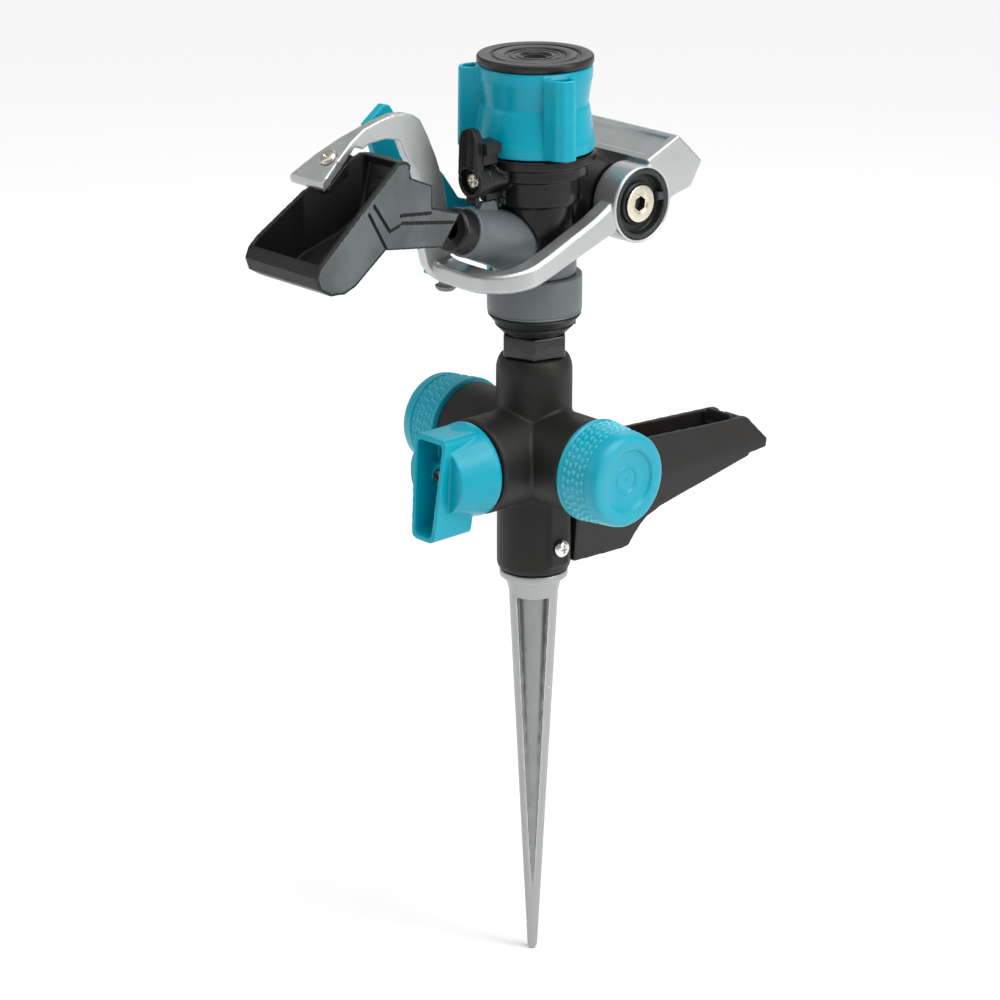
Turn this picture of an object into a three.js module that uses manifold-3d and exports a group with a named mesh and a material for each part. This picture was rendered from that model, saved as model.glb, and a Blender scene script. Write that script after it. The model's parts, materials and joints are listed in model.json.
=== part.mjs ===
// Impulse lawn sprinkler on a ground spike, for a garden hose.
// Millimetres, +Z up. The origin is on the spike's axis at ground level. +X points along the right port cap,
// -Y is the way the jet leaves and +Y is the foot pedal.
import * as THREE from "three";
import { mergeVertices } from "three/addons/utils/BufferGeometryUtils.js";
import { ConvexGeometry } from "three/addons/geometries/ConvexGeometry.js";
import { LoftGeometry } from "three/addons/geometries/LoftGeometry.js";
import Module from "manifold-3d";

const wasm = await Module();
wasm.setup();

// Driving dimensions
const RUNNING_GAP = 0.3; // between faces that touch or slide
const SPIKE_TIP_Z = -171.5;
const SPIKE_TOP_R = 10.3;
const SPIKE_TIP_R = 2.1;
const SPIKE_FLANGE_R = 14.2;
const SHANK_R = 9.4;
const SHANK_TOP_Z = 28.5;
const BODY_FLOOR_Z = 3.5;
const LOWER_TUBE_R = 15.3;
const CROSS_Z = 54.4; // height of the two ports and the valve
const BARREL_R = 19.8;
const BARREL_END = 34.2;
const LEFT_EXTRA = 4.6; // the left port stands this much further out
const NIPPLE_R = 13.2; // G3/4 male thread
const NIPPLE_END = 49.9;
const WATERWAY_R = 9;
const RISER_R = 15.6;
const RISER_TOP_Z = 95.5;
const PLUG_R = 11.7;
const PLUG_PORT_R = 7.6;
const HEX_R = 14.4; // across the corners
const HEX_TOP_Z = 105;
const SLEEVE_R = 8.4;
const SLEEVE_BORE_R = 6.2;
const SCREW_Z = 15.5; // screw that holds the spike
const COLLAR_R = 19.25;
const COLLAR_Z = [113.8, 129.8];
const NECK_R = 16.9;
const JET_RISE = THREE.MathUtils.degToRad(18);
const ELBOW_Z = 140.7; // where the jet's axis crosses the head's axis
const OUTLET_R = 10;
const OUTLET_END = 40.6; // along the jet's axis
const NOZZLE_R = 9.2;
const NOZZLE_END = 48;
const PIVOT_Y = 32.2; // arm pivot, axis along X
const PIVOT_Z = 157.4;
const PIVOT_BARREL_R = 10.8;
const RING_R = 15.9;
const RING_X = [16.2, 29];
const DIAL_Z = [181, 215.2];
const DIAL_R = 24;
const WING_R = 31;
const WING_ANGLES = [-18.5, -138.5, 101.5];
const CAP_DISC_R = 23.3;
const DEFLECTOR_Z = 173; // deflector pivot, axis along Y
const TRIP_Y = -6; // trip lever pivot, axis along X
const TRIP_Z = 148;
const HOOK_X = [-18.6, -14.3];
const SPOON_X = [-30.6, 12];
const SADDLE_SCREW = [-19, 44.2]; // X, and the distance up the mouth plane
const MOUTH_LIP = [-122.5, 157]; // lower lip of the spoon's mouth, as [y, z]
const MOUTH_ANGLE = THREE.MathUtils.degToRad(40.2);

// Colours
const TEAL = 0x0aa5b8;
const BLACK = 0x262524;
const SATIN_BLACK = 0x2f3031;
const GREY = 0x6f7476;
const SILVER = 0xc3c4c1;
const STEEL = 0xd2cfc8;
const RUBBER = 0x1b1b1b;

const root = new THREE.Group();

// A three.js geometry as a closed solid, facing outwards.
function solid(geometry) {
  const bare = new THREE.BufferGeometry().copy(geometry);
  bare.deleteAttribute("normal");
  bare.deleteAttribute("uv");
  const merged = mergeVertices(bare, 1e-3);
  const corners = merged.index.array;
  const triangles = [];
  for (let i = 0; i < corners.length; i += 3) {
    const [a, b, c] = [corners[i], corners[i + 1], corners[i + 2]];
    if (a !== b && b !== c && c !== a) triangles.push(a, b, c);
  }
  const build = (list) =>
    new wasm.Manifold(
      new wasm.Mesh({
        numProp: 3,
        vertProperties: new Float32Array(merged.attributes.position.array),
        triVerts: new Uint32Array(list),
      }),
    );
  const made = build(triangles);
  if (made.volume() > 0) return made;
  const turned = [];
  for (let i = 0; i < triangles.length; i += 3) turned.push(triangles[i], triangles[i + 2], triangles[i + 1]);
  return build(turned);
}

// Sets a geometry made along +Y or +Z onto another axis.
const AXES = {
  z: (g) => g.rotateX(Math.PI / 2),
  x: (g) => g.rotateZ(-Math.PI / 2),
  "-x": (g) => g.rotateZ(Math.PI / 2),
  y: (g) => g,
  "-y": (g) => g.rotateX(Math.PI),
};

// Turns a profile of [radius, height] pairs about an axis through `at`.
function turned(profile, axis = "z", at = [0, 0, 0], segments = 30) {
  const points = profile.map(([r, h]) => new THREE.Vector2(r, h));
  return solid(AXES[axis](new THREE.LatheGeometry(points, segments)).translate(...at));
}

// A round bar between two heights on an axis.
function bar(radius, from, to, axis = "z", at = [0, 0, 0], segments = 18) {
  return turned([[0, from], [radius, from], [radius, to], [0, to]], axis, at, segments);
}

// A round washer or tube.
function ring(inner, outer, from, to, axis = "z", at = [0, 0, 0], segments = 22) {
  const profile = [[inner, from], [outer, from], [outer, to], [inner, to], [inner, from]];
  return turned(profile, axis, at, segments);
}

function box(x0, x1, y0, y1, z0, z1) {
  const g = new THREE.BoxGeometry(x1 - x0, y1 - y0, z1 - z0);
  return solid(g.translate((x0 + x1) / 2, (y0 + y1) / 2, (z0 + z1) / 2));
}

function prism(points, depth) {
  const shape = new THREE.Shape(points.map(([a, b]) => new THREE.Vector2(a, b)));
  return new THREE.ExtrudeGeometry(shape, { depth, bevelEnabled: false, curveSegments: 12 });
}

// Prisms of an outline: [y, z] along X, [x, z] along Y, [x, y] along Z.
function prismX(points, x0, x1) {
  const turn = new THREE.Matrix4().makeBasis(
    new THREE.Vector3(0, 1, 0),
    new THREE.Vector3(0, 0, 1),
    new THREE.Vector3(1, 0, 0),
  );
  return solid(prism(points, x1 - x0).applyMatrix4(turn).translate(x0, 0, 0));
}
function prismY(points, y0, y1) {
  return solid(prism(points, y1 - y0).rotateX(Math.PI / 2).translate(0, y1, 0));
}
function prismZ(points, z0, z1) {
  return solid(prism(points, z1 - z0).translate(0, 0, z0));
}

function hull(points) {
  return solid(new ConvexGeometry(points.map((p) => new THREE.Vector3(...p))));
}

function oRing(radius, section, axis, at) {
  const g = new THREE.TorusGeometry(radius, section, 6, 18);
  if (axis === "y") g.rotateX(Math.PI / 2);
  if (axis === "x") g.rotateY(Math.PI / 2);
  return solid(g.translate(...at));
}

function regularPolygon(sides, radius, startDegrees) {
  const start = THREE.MathUtils.degToRad(startDegrees);
  return Array.from({ length: sides }, (_, i) => {
    const angle = start + (i * 2 * Math.PI) / sides;
    return [radius * Math.cos(angle), radius * Math.sin(angle)];
  });
}

function join(...parts) {
  return parts.reduce((whole, part) => whole.add(part));
}
function cut(whole, ...tools) {
  return tools.reduce((left, tool) => left.subtract(tool), whole);
}

// Tips a solid made along -Y up to the jet's axis. Distances along the jet are measured from the head's axis.
function onJet(shape) {
  return shape.rotate([-THREE.MathUtils.radToDeg(JET_RISE), 0, 0]).translate([0, 0, ELBOW_Z]);
}

// A point [y, z] at distance s up the spoon's mouth plane from its lower lip and `off` above the plane.
function saddlePoint(s, off) {
  return [
    MOUTH_LIP[0] + s * Math.cos(MOUTH_ANGLE) - off * Math.sin(MOUTH_ANGLE),
    MOUTH_LIP[1] + s * Math.sin(MOUTH_ANGLE) + off * Math.cos(MOUTH_ANGLE),
  ];
}

// Sets a solid made along +Z from the mouth plane onto the saddle screw's axis.
function onSaddle(shape, off) {
  const [x, s] = SADDLE_SCREW;
  return shape.rotate([THREE.MathUtils.radToDeg(MOUTH_ANGLE), 0, 0]).translate([x, ...saddlePoint(s, off)]);
}

// Adds one named mesh to the group.
function add(name, shape, color, roughness, metalness) {
  const made = shape.getMesh();
  const geometry = new THREE.BufferGeometry();
  geometry.setAttribute("position", new THREE.BufferAttribute(new Float32Array(made.vertProperties), 3));
  geometry.setIndex(new THREE.BufferAttribute(new Uint32Array(made.triVerts), 1));
  geometry.computeVertexNormals();
  const mesh = new THREE.Mesh(geometry, new THREE.MeshStandardMaterial({ color, roughness, metalness }));
  mesh.name = name;
  root.add(mesh);
}

// A cross recess in the head of a screw whose face looks along +Z at height z.
function crossRecess(z, reach, depth) {
  const slot = box(-reach, reach, -0.45, 0.45, z - depth, z + 1);
  return slot.add(slot.rotate([0, 0, 90]));
}

// A pan-head screw along +Z with its seat at z = 0.
function panScrew(headR, headH, shankR, length) {
  const profile = [[0, -length], [shankR, -length], [shankR, 0], [headR, 0]];
  profile.push([headR, headH * 0.45], [headR * 0.72, headH * 0.88], [headR * 0.4, headH], [0, headH]);
  return cut(turned(profile, "z", [0, 0, 0], 14), crossRecess(headH, headR * 0.55, headH * 0.55));
}

// Ground spike: a tapered casting with a recessed panel front and back, each with a rounded ridge.
function spike() {
  const outline = [[0, SPIKE_TIP_Z], [1.5, SPIKE_TIP_Z], [SPIKE_TIP_R, SPIKE_TIP_Z + 3]];
  outline.push([SPIKE_TOP_R, -6.5], [11.1, -3.2], [12.2, -0.8], [12.5, 0], [SPIKE_FLANGE_R, 0]);
  outline.push([SPIKE_FLANGE_R, 3.1], [SHANK_R, 3.1], [SHANK_R, SHANK_TOP_Z - 1]);
  outline.push([SHANK_R - 1, SHANK_TOP_Z], [0, SHANK_TOP_Z]);
  let body = turned(outline);
  const panelTop = -8;
  const panelEnd = -147;
  for (const side of [1, -1]) {
    const tool = hull([
      [-6.6, side * 4.6, panelTop],
      [6.6, side * 4.6, panelTop],
      [-6.6, side * 15, panelTop],
      [6.6, side * 15, panelTop],
      [-0.2, side * 2.9, panelEnd],
      [0.2, side * 2.9, panelEnd],
      [-0.2, side * 8, panelEnd],
      [0.2, side * 8, panelEnd],
    ]);
    body = body.subtract(tool.rotate([0, 0, 45]));
  }
  const ridgeTop = panelTop + 2;
  const ridge = turned([[0, panelEnd], [2.6, panelEnd], [7.4, ridgeTop], [0, ridgeTop]], "z", [0, 0, 0], 24);
  const screwHole = bar(1.9, 4, 12, "x", [0, 0, SCREW_Z], 16);
  return cut(body.add(ridge), screwHole);
}

// Moulded base: lower socket for the spike, two hose ports, valve chamber and riser in one piece.
function baseBody() {
  const crossing = [0, 0, CROSS_Z];
  const foot = [[0, BODY_FLOOR_Z], [13.6, BODY_FLOOR_Z], [14.8, 4.2], [LOWER_TUBE_R, 6]];
  const lower = turned([...foot, [LOWER_TUBE_R, 50], [0, 50]]);
  const riserTop = [[RISER_R, 90.6], [14.9, 93.2], [13.7, RISER_TOP_Z], [0, RISER_TOP_Z]];
  const riser = turned([[0, 50], [RISER_R, 50], ...riserTop]);
  const barrelEnd = [[BARREL_R, BARREL_END - 1.2], [19.2, BARREL_END], [0, BARREL_END]];
  const mirroredEnd = barrelEnd.map(([r, h]) => [r, -h - LEFT_EXTRA]).reverse();
  const ports = turned([...mirroredEnd, ...barrelEnd], "x", crossing);
  const valveBoss = turned([[0, 0], [BARREL_R, 0], ...barrelEnd], "-y", crossing);
  const thread = [[0, 20], [NIPPLE_R, 20], [NIPPLE_R, 38], [12.2, 38.6], [12.2, 39.6], [NIPPLE_R, 40.2]];
  thread.push([NIPPLE_R, NIPPLE_END - 0.8], [NIPPLE_R - 0.8, NIPPLE_END], [0, NIPPLE_END]);
  const rightNipple = turned(thread, "x", crossing, 24);
  const leftNipple = turned(thread, "-x", [-LEFT_EXTRA, 0, CROSS_Z], 24);
  const pad = box(0, 15.9, -5.6, 5.6, 7.5, 36);
  const tongue = box(-5.5, 5.5, 10, 33, 9, 36);
  const shell = join(lower, riser, ports, rightNipple, leftNipple, valveBoss, pad, tongue);
  return cut(
    shell,
    bar(SHANK_R + RUNNING_GAP, 0, SHANK_TOP_Z + 0.6, "z", [0, 0, 0], 30),
    bar(2.3, 5, 20, "x", [0, 0, SCREW_Z], 16),
    bar(WATERWAY_R, -70, 60, "x", [0, 0, CROSS_Z]),
    bar(WATERWAY_R, CROSS_Z, 100, "z"),
    bar(10.4, 75.6, 100, "z", [0, 0, 0], 22),
    bar(PLUG_R + RUNNING_GAP, -14, 40, "-y", [0, 0, CROSS_Z], 30),
    bar(16, 28, 40, "-y", [0, 0, CROSS_Z], 22),
    bar(2, 18, 34, "y", [0, 0, 26], 12),
  );
}

// Foot pedal: an open-topped trough that flares to its mid-height, with grip ribs at the outer end.
function footPedal() {
  const side = [[13.5, 4.6], [41.9, 3.3], [45.4, 3.9], [51.3, 11.3], [55.4, 14.3], [63.1, 17.3], [115, 27.6]];
  side.push([116.5, 29], [126.4, 29.5], [127.2, 33.4], [116, 45], [60, 48.6], [40, 50]);
  side.push([33, 50], [33, 37], [13.5, 35.5]);
  const flare = [[9.8, 0], [12.2, 30], [12.2, 33], [9.4, 52]];
  const section = [...flare, ...flare.map(([x, z]) => [-x, z]).reverse()];
  const outer = prismX(side, -14, 14).intersect(prismY(section, 10, 140));
  const hollow = [[36, 12.5], [47, 13.6], [54, 17.4], [62, 20.3], [108, 29.8], [108, 60], [36, 60]];
  const inner = [[-7.6, 8], [7.6, 8], [9.9, 31], [7.3, 55], [-7.3, 55], [-9.9, 31]];
  const trough = prismX(hollow, -14, 14).intersect(prismY(inner, 10, 140));
  const tread = prismX([[107, 41], [128, 34.6], [128, 60], [107, 60]], -7, 7);
  let body = cut(outer, trough, tread);
  for (let i = 0; i < 3; i += 1) {
    const y = 108.4 + i * 5.6;
    const z = 41 - i * 1.7;
    const top = z + 4 - i * 0.8;
    body = body.add(prismX([[y, z - 2], [y + 2.6, z - 2], [y + 1.6, top], [y + 0.6, top]], -7.2, 7.2));
  }
  const barrel = bar(LOWER_TUBE_R + RUNNING_GAP, 0, 60, "z", [0, 0, 0], 30);
  const slot = box(-5.9, 5.9, 5, 33.4, 8.6, 36.4);
  const ports = bar(BARREL_R + RUNNING_GAP, -36, 36, "x", [0, 0, CROSS_Z], 30);
  return cut(body, barrel, slot, ports, bar(2.3, 30, 40, "y", [0, 0, 26], 12));
}

// Port cap: a cup with a dished end face, along the axis named.
function portCap(axis, centreX) {
  const profile = [[0, 51.2], [13.6, 51.2], [13.6, 34.9], [20.4, 34.9], [21.1, 35.6], [21.1, 37.4]];
  profile.push([19.4, 53.2], [18.6, 54.9], [17, 55.7], [12.9, 55.7], [12.3, 55.2], [11.6, 54.2], [5.8, 53.5]);
  profile.push([5.6, 53.8], [5.1, 53.8], [4.9, 53.4], [0, 53.4]);
  return turned(profile, axis, [centreX, 0, CROSS_Z]);
}

function capWasher(axis, centreX) {
  return ring(8.6, 13.2, NIPPLE_END + 0.25, NIPPLE_END + 1.1, axis, [centreX, 0, CROSS_Z], 30);
}

// Valve plug: a drum with a T-shaped waterway and a square-ended stem.
function valvePlug() {
  const profile = [[0, -12.6], [10.9, -12.6], [PLUG_R, -11.8], [PLUG_R, 16.6], [9.5, 16.6], [9.5, 19.4]];
  profile.push([PLUG_R, 19.4], [PLUG_R, 24], [5, 24.6], [5, 37], [0, 37]);
  const drum = turned(profile, "-y", [0, 0, CROSS_Z]);
  const square = box(-3.4, 3.4, -44, -36, CROSS_Z - 3.4, CROSS_Z + 3.4);
  return cut(
    drum.add(square),
    bar(PLUG_PORT_R, -20, 20, "x", [0, 0, CROSS_Z]),
    bar(PLUG_PORT_R, 0, 20, "z", [0, 0, CROSS_Z]),
    bar(2, 30, 50, "-y", [0, 0, CROSS_Z], 16),
  );
}

// Valve handle: a coned hub with a hollow grip that hangs below it.
function valveHandle() {
  const cone = [[0, 35.2], [18.8, 35.2], [19.5, 36], [19.4, 37.6], [15.4, 54], [0, 54]];
  const hub = turned(cone, "-y", [0, 0, CROSS_Z]);
  const grip = hull([
    [-9.4, -55.4, 72.2],
    [9.4, -55.4, 72.2],
    [-9.6, -57.4, 68],
    [9.6, -57.4, 68],
    [-9.4, -38, 72.2],
    [9.4, -38, 72.2],
    [-6.8, -61.4, 30.4],
    [6.8, -61.4, 30.4],
    [-6.6, -60, 29.4],
    [6.6, -60, 29.4],
    [-6.6, -41, 29.4],
    [6.6, -41, 29.4],
  ]);
  const pocket = hull([
    [-7.5, -66, 70],
    [7.5, -66, 70],
    [-7.3, -48.6, 69],
    [7.3, -48.6, 69],
    [-4.9, -70, 31.6],
    [4.9, -70, 31.6],
    [-4.7, -45.4, 31.6],
    [4.7, -45.4, 31.6],
  ]);
  const rear = ring(8.2, 16.6, 34, 42.7, "-y", [0, 0, CROSS_Z], 28);
  const boss = bar(5.4, 45, 51, "-y", [0, 0, CROSS_Z]);
  const gripOutside = grip.subtract(bar(18.1, 30, 44.6, "-y", [0, 0, CROSS_Z], 26));
  const frontPocket = pocket.subtract(bar(30, 30, 46.4, "-y", [0, 0, CROSS_Z]));
  const shell = cut(hub.add(gripOutside), frontPocket, rear).add(boss);
  const socket = box(-3.7, 3.7, -44.3, -30, CROSS_Z - 3.7, CROSS_Z + 3.7);
  const stem = bar(5.3, 30, 37.3, "-y", [0, 0, CROSS_Z]);
  return cut(shell, socket, stem, bar(2.1, 40, 60, "-y", [0, 0, CROSS_Z], 16));
}

// Fixed sleeve the head turns on: threaded foot, hexagon and a flanged tube.
function bearingSleeve() {
  const foot = turned([[0, 77.4], [9.4, 77.4], [10.1, 78], [10.1, 96.2], [0, 96.2]], "z", [0, 0, 0], 22);
  const hexagon = prismZ(regularPolygon(6, HEX_R, -43.5), 95.9, HEX_TOP_Z);
  const flange = [[SLEEVE_R, 118.9], [11.2, 118.9], [11.2, 121.3], [0, 121.3]];
  const tube = turned([[0, 100], [SLEEVE_R, 100], ...flange], "z", [0, 0, 0], 22);
  return cut(join(foot, hexagon, tube), bar(SLEEVE_BORE_R, 70, 130));
}

// Sector stop ring: a tapered ring with a tab that the trip lever meets.
function stopRing(z0, r0, z1, r1, tabDegrees) {
  const band = turned([[8.8, z0], [r0, z0], [r1, z1], [8.8, z1], [8.8, z0]]);
  const tab = hull([
    [r0 - 3, -1.6, z0],
    [r0 - 3, 1.6, z0],
    [22, -1.3, 103.6],
    [22, 1.3, 103.6],
    [22, -1.3, 108.6],
    [22, 1.3, 108.6],
    [r1 - 3, -1.6, z1],
    [r1 - 3, 1.6, z1],
    [r0 - 3, -1.6, z1],
    [r0 - 3, 1.6, z1],
  ]);
  const clearance = bar(Math.max(14.8, r0 + 1.2), 90, z0, "z", [0, 0, 0], 30);
  return band.add(cut(tab, clearance).rotate([0, 0, tabDegrees]));
}

// Collar nut that holds the head on its sleeve.
function collarNut() {
  const [z0, z1] = COLLAR_Z;
  const profile = [[8.8, z0 + 0.6], [17.8, z0], [18.8, z0], [COLLAR_R, z0 + 0.5], [COLLAR_R, z1 - 0.8]];
  profile.push([18.6, z1], [14.3, z1], [14.3, z0 + 3], [8.8, z0 + 3], [8.8, z0 + 0.6]);
  return turned(profile);
}

// Grey waterway: neck, elbow and rising outlet tube, with a sight lug on top.
function waterElbow() {
  const neckTop = ELBOW_Z - RUNNING_GAP;
  const profile = [[0, 123.8], [14, 123.8], [14, 130.1], [NECK_R, 130.1], [NECK_R, neckTop], [13.8, neckTop]];
  const neck = turned([...profile, [13.8, 156.4], [0, 156.4]]);
  const tube = [[0, 0], [12.4, 0], [11.8, 20], [OUTLET_R, 36], [OUTLET_R, OUTLET_END], [0, OUTLET_END]];
  const outlet = onJet(turned(tube, "-y"));
  const lugSide = [[-31, 150], [-31, 162.4], [-29.6, 163.8], [-23.4, 163.8], [-22, 162.4], [-20, 150]];
  const lug = prismX(lugSide, -1.8, 1.8);
  return cut(
    join(neck, outlet, lug),
    bar(7, 120, ELBOW_Z + 3),
    onJet(bar(7, 0, 50, "-y")),
    onJet(bar(8.3, 31, 50, "-y")),
    bar(1.8, 146, 160, "z", [8.6, 6, 0], 16),
    bar(1.8, 146, 160, "z", [-8.6, 6, 0], 16),
  );
}

// Black housing: skirt over the elbow, pocket under the dial, dial stem, pivot bracket and lever bosses.
function headHousing() {
  const profile = [[0, 141], [16.7, 141], [16.2, 159.8], [18.3, 160.6], [18.6, 170.6], [21.4, 171.2]];
  profile.push([21.4, 175.8], [24.2, 176.6], [24.2, 180.4], [0, 180.4]);
  const shell = turned(profile);
  const bracketSide = [[8, 150], [26, 146.8], [36, 147.4], [37, 167.6], [18, 178.4], [8, 178.4]];
  const bracket = prismX(bracketSide, -9.5, 15.5);
  const barrel = bar(PIVOT_BARREL_R, -9.8, 15.7, "x", [0, PIVOT_Y, PIVOT_Z], 30);
  const leverBoss = bar(6, 14, 29.4, "-y", [0, 0, DEFLECTOR_Z]);
  const rib = prismX([[-28, 163.2], [-15, 163.2], [-15, 171], [-28, 171]], -2, 2);
  const tripBoss = bar(5, 12, 23.6, "-x", [0, TRIP_Y, TRIP_Z], 18);
  const tripStem = bar(3.2, 23, 28.4, "-x", [0, TRIP_Y, TRIP_Z], 18);
  const body = cut(
    join(shell, bracket, barrel, leverBoss, rib, tripBoss, tripStem),
    ring(8.6, 17, 161.5, 190),
    bar(14.1, 130, 156.7, "z", [0, 0, 0], 30),
    onJet(bar(12.8, 0, 60, "-y", [0, 0, 0], 22)),
    box(-2.3, 2.3, -35, -18, 145, 163.9),
    bar(2.1, 18, 40, "-y", [0, 0, DEFLECTOR_Z], 16),
    bar(2, 15, 40, "-x", [0, TRIP_Y, TRIP_Z], 16),
    bar(5.1, -20, 30, "x", [0, PIVOT_Y, PIVOT_Z], 18),
    bar(2, 150, 170, "z", [8.6, 6, 0], 16),
    bar(2, 150, 170, "z", [-8.6, 6, 0], 16),
  );
  const stem = turned([[0, 161], [8, 161], [6, 176], [6, 211.4], [0, 211.4]], "z", [0, 0, 0], 30);
  const wells = [-1, 1].map((side) => bar(3.4, 161.5, 185, "z", [side * 8.6, 6, 0], 20));
  return cut(body.add(stem), bar(2.2, 185, 215, "z", [0, 0, 0], 20), ...wells);
}

// Nozzle: a spigot in the outlet tube and a collar in front of it.
function nozzle() {
  const profile = [[5.6, 31.6], [7.9, 31.6], [7.9, 34], [6.9, 34], [6.9, 36.6], [7.9, 36.6], [7.9, 40.9]];
  profile.push([NOZZLE_R, 40.9], [NOZZLE_R, 46.8], [8.6, NOZZLE_END]);
  profile.push([3.2, NOZZLE_END], [3.2, 46], [5.6, 38], [5.6, 31.6]);
  return onJet(turned(profile, "-y", [0, 0, 0], 22));
}

function nozzleSeal() {
  return onJet(oRing(7.5, 0.45, "y", [0, -35.3, 0]));
}

// Range dial: a waisted hollow drum with three pocketed finger wings.
function rangeDial() {
  const [z0, z1] = DIAL_Z;
  const outer = [[0, z0], [DIAL_R - 0.6, z0], [DIAL_R, z0 + 0.8], [DIAL_R, z0 + 4.6], [21.7, 199]];
  outer.push([21.2, 199.6], [22.6, 209], [22.9, 209.8], [22.9, z1 - 0.4], [22.4, z1], [0, z1]);
  let body = turned(outer);
  for (const degrees of WING_ANGLES) {
    const wing = hull([
      [24 * 0.96, -7.4, z0 + 0.6],
      [28.6, -3.6, z0 + 0.6],
      [WING_R, 2.2, z0 + 0.6],
      [23, 5, z0 + 0.6],
      [18, 0, z0 + 0.6],
      [22.6, -7.2, z1 - 1.4],
      [28.2, -3.6, z1 - 1.4],
      [WING_R - 0.4, 2, z1 - 1.4],
      [21, 5, z1 - 1.4],
      [18, 0, z1 - 1.4],
    ]);
    body = body.add(wing.rotate([0, 0, degrees]));
  }
  const cavity = [[5, z0 - 1], [22.2, z0 - 1], [22.2, z0 + 4.6], [19.8, 199.4], [20.9, 210], [20.9, 212.2]];
  cavity.push([9, 212.2], [9, 184.5], [5, 184.5], [5, z0 - 1]);
  body = cut(body, turned(cavity), bar(6.3, z0 - 2, 211.8), bar(4.4, 200, 220, "z", [0, 0, 0], 18));
  for (const degrees of WING_ANGLES) {
    const pocket = prismZ([[23.9, -4.6], [27.6, -2.2], [28.6, 1.2], [24.1, 2.9]], z0 + 3, z1 + 2);
    body = body.subtract(pocket.rotate([0, 0, degrees]));
  }
  return body;
}

// Disc on top of the dial, with raised rings round a central well.
function dialDisc() {
  const profile = [[4.6, 215.6], [22.6, 215.6], [CAP_DISC_R, 216.2], [CAP_DISC_R, 218.3], [22.6, 218.9]];
  profile.push([18.2, 218.9], [17.6, 218.2], [16.9, 218.2], [16.3, 218.7], [12.4, 218.7], [11.8, 218]);
  profile.push([6.2, 218]);
  profile.push([5.6, 217.4], [4.6, 217.4], [4.6, 215.6]);
  return turned(profile);
}

// Deflector lever: a finger above its pivot cup and a tab below, with a follower that reaches the dial's rim.
function deflectorLever() {
  const cup = bar(6.8, 29.8, 35.2, "-y", [0, 0, DEFLECTOR_Z]);
  const side = [[5.6, 175], [5, 189.4], [3.6, 192.6], [1.4, 194.2]];
  const otherSide = side.map(([x, z]) => [-x, z]).reverse();
  const finger = prismY([...side, ...otherSide], -36.4, -32.6);
  const groove = bar(5.2, 178.6, 205, "z", [0, -40.4, 0], 22);
  const followerFace = [[1, 180.2], [6.2, 180.2], [6.2, 184], [8.4, 184.6], [8.4, 188.8], [1, 189.6]];
  const follower = prismY(followerFace, -33.4, -25.6);
  const tab = prismY([[-2.7, 163.2], [2.7, 163.2], [2.7, 169], [-2.7, 169]], -34.6, -32.2);
  return cut(
    join(cup, cut(finger, groove), follower, tab),
    bar(5.2, 32.2, 45, "-y", [0, 0, DEFLECTOR_Z], 22),
    bar(2.1, 20, 40, "-y", [0, 0, DEFLECTOR_Z], 16),
  );
}

// The arm's ribbon from the pivot ring, round the front and across to the hook.
// Each row is a centre, the half width and the half height of the section there.
function armRibbon() {
  const rows = [
    [[23.4, 21, 155.6], [4.2, 0, 0], [0, 0, 7.4]],
    [[23.6, 8, 150], [4.2, 0, 0], [0, 0, 5.6]],
    [[23.8, -7, 144.4], [4.2, 0, 0], [0, 0, 5.1]],
    [[23.6, -19, 139.8], [4.4, -0.2, 0], [0, 0, 4.8]],
    [[22.2, -26.2, 137], [4.7, -1.6, 0], [0, 0, 4.5]],
    [[18.4, -31.8, 135.4], [3.6, -3.6, 0], [0, 0, 4.1]],
    [[12.4, -34.8, 134.4], [1.4, -5, 0], [0, 0, 3.8]],
    [[5, -35.4, 133.9], [0, -5.2, -0.4], [0, 0, 3.7]],
    [[-7, -35.4, 134], [0, -5.2, -0.4], [0, 0, 3.7]],
    [[-12.4, -35.6, 134.4], [0, -5.4, -0.3], [0, 0, 3.8]],
    [[-16.6, -35.8, 135.6], [0, -5.4, -0.2], [0, 0, 4.2]],
  ];
  const sections = rows.map(([c, a, b]) => {
    const at = (u, v) => new THREE.Vector3(...c.map((middle, i) => middle + u * a[i] + v * b[i]));
    const upper = [at(1, 0.72), at(0.76, 1), at(-0.76, 1), at(-1, 0.72)];
    return [...upper, at(-1, -0.72), at(-0.76, -1), at(0.76, -1), at(1, -0.72)];
  });
  return solid(new LoftGeometry(sections, { capStart: true, capEnd: true }));
}

// The hook: an upright plate that rises from the ribbon and turns forward over the spoon.
function armHook() {
  const outer = [[-31, 131.6], [-32.4, 141.6], [-34.5, 162.5], [-36.3, 171.6], [-39.9, 181.4], [-44, 190.2]];
  outer.push([-48, 197.4], [-51.7, 200], [-55.4, 201.1], [-62, 201.6], [-69.4, 200.3], [-76.7, 198.4]);
  outer.push([-83.3, 194.4], [-91.3, 188], [-98.4, 181.4], [-98.9, 177.4]);
  const inner = [[-88, 186.9], [-82, 192], [-77.6, 190.4], [-73.9, 192], [-65.8, 192.5], [-58.5, 190.9]];
  inner.push([-57.1, 187.8], [-55.3, 183.5], [-52.7, 179.6], [-50.5, 176.9], [-48.4, 170.8], [-47.4, 158]);
  inner.push([-47.4, 146], [-45, 137.4], [-40.6, 132]);
  return prismX([...outer, ...inner], HOOK_X[0], HOOK_X[1]);
}

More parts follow.
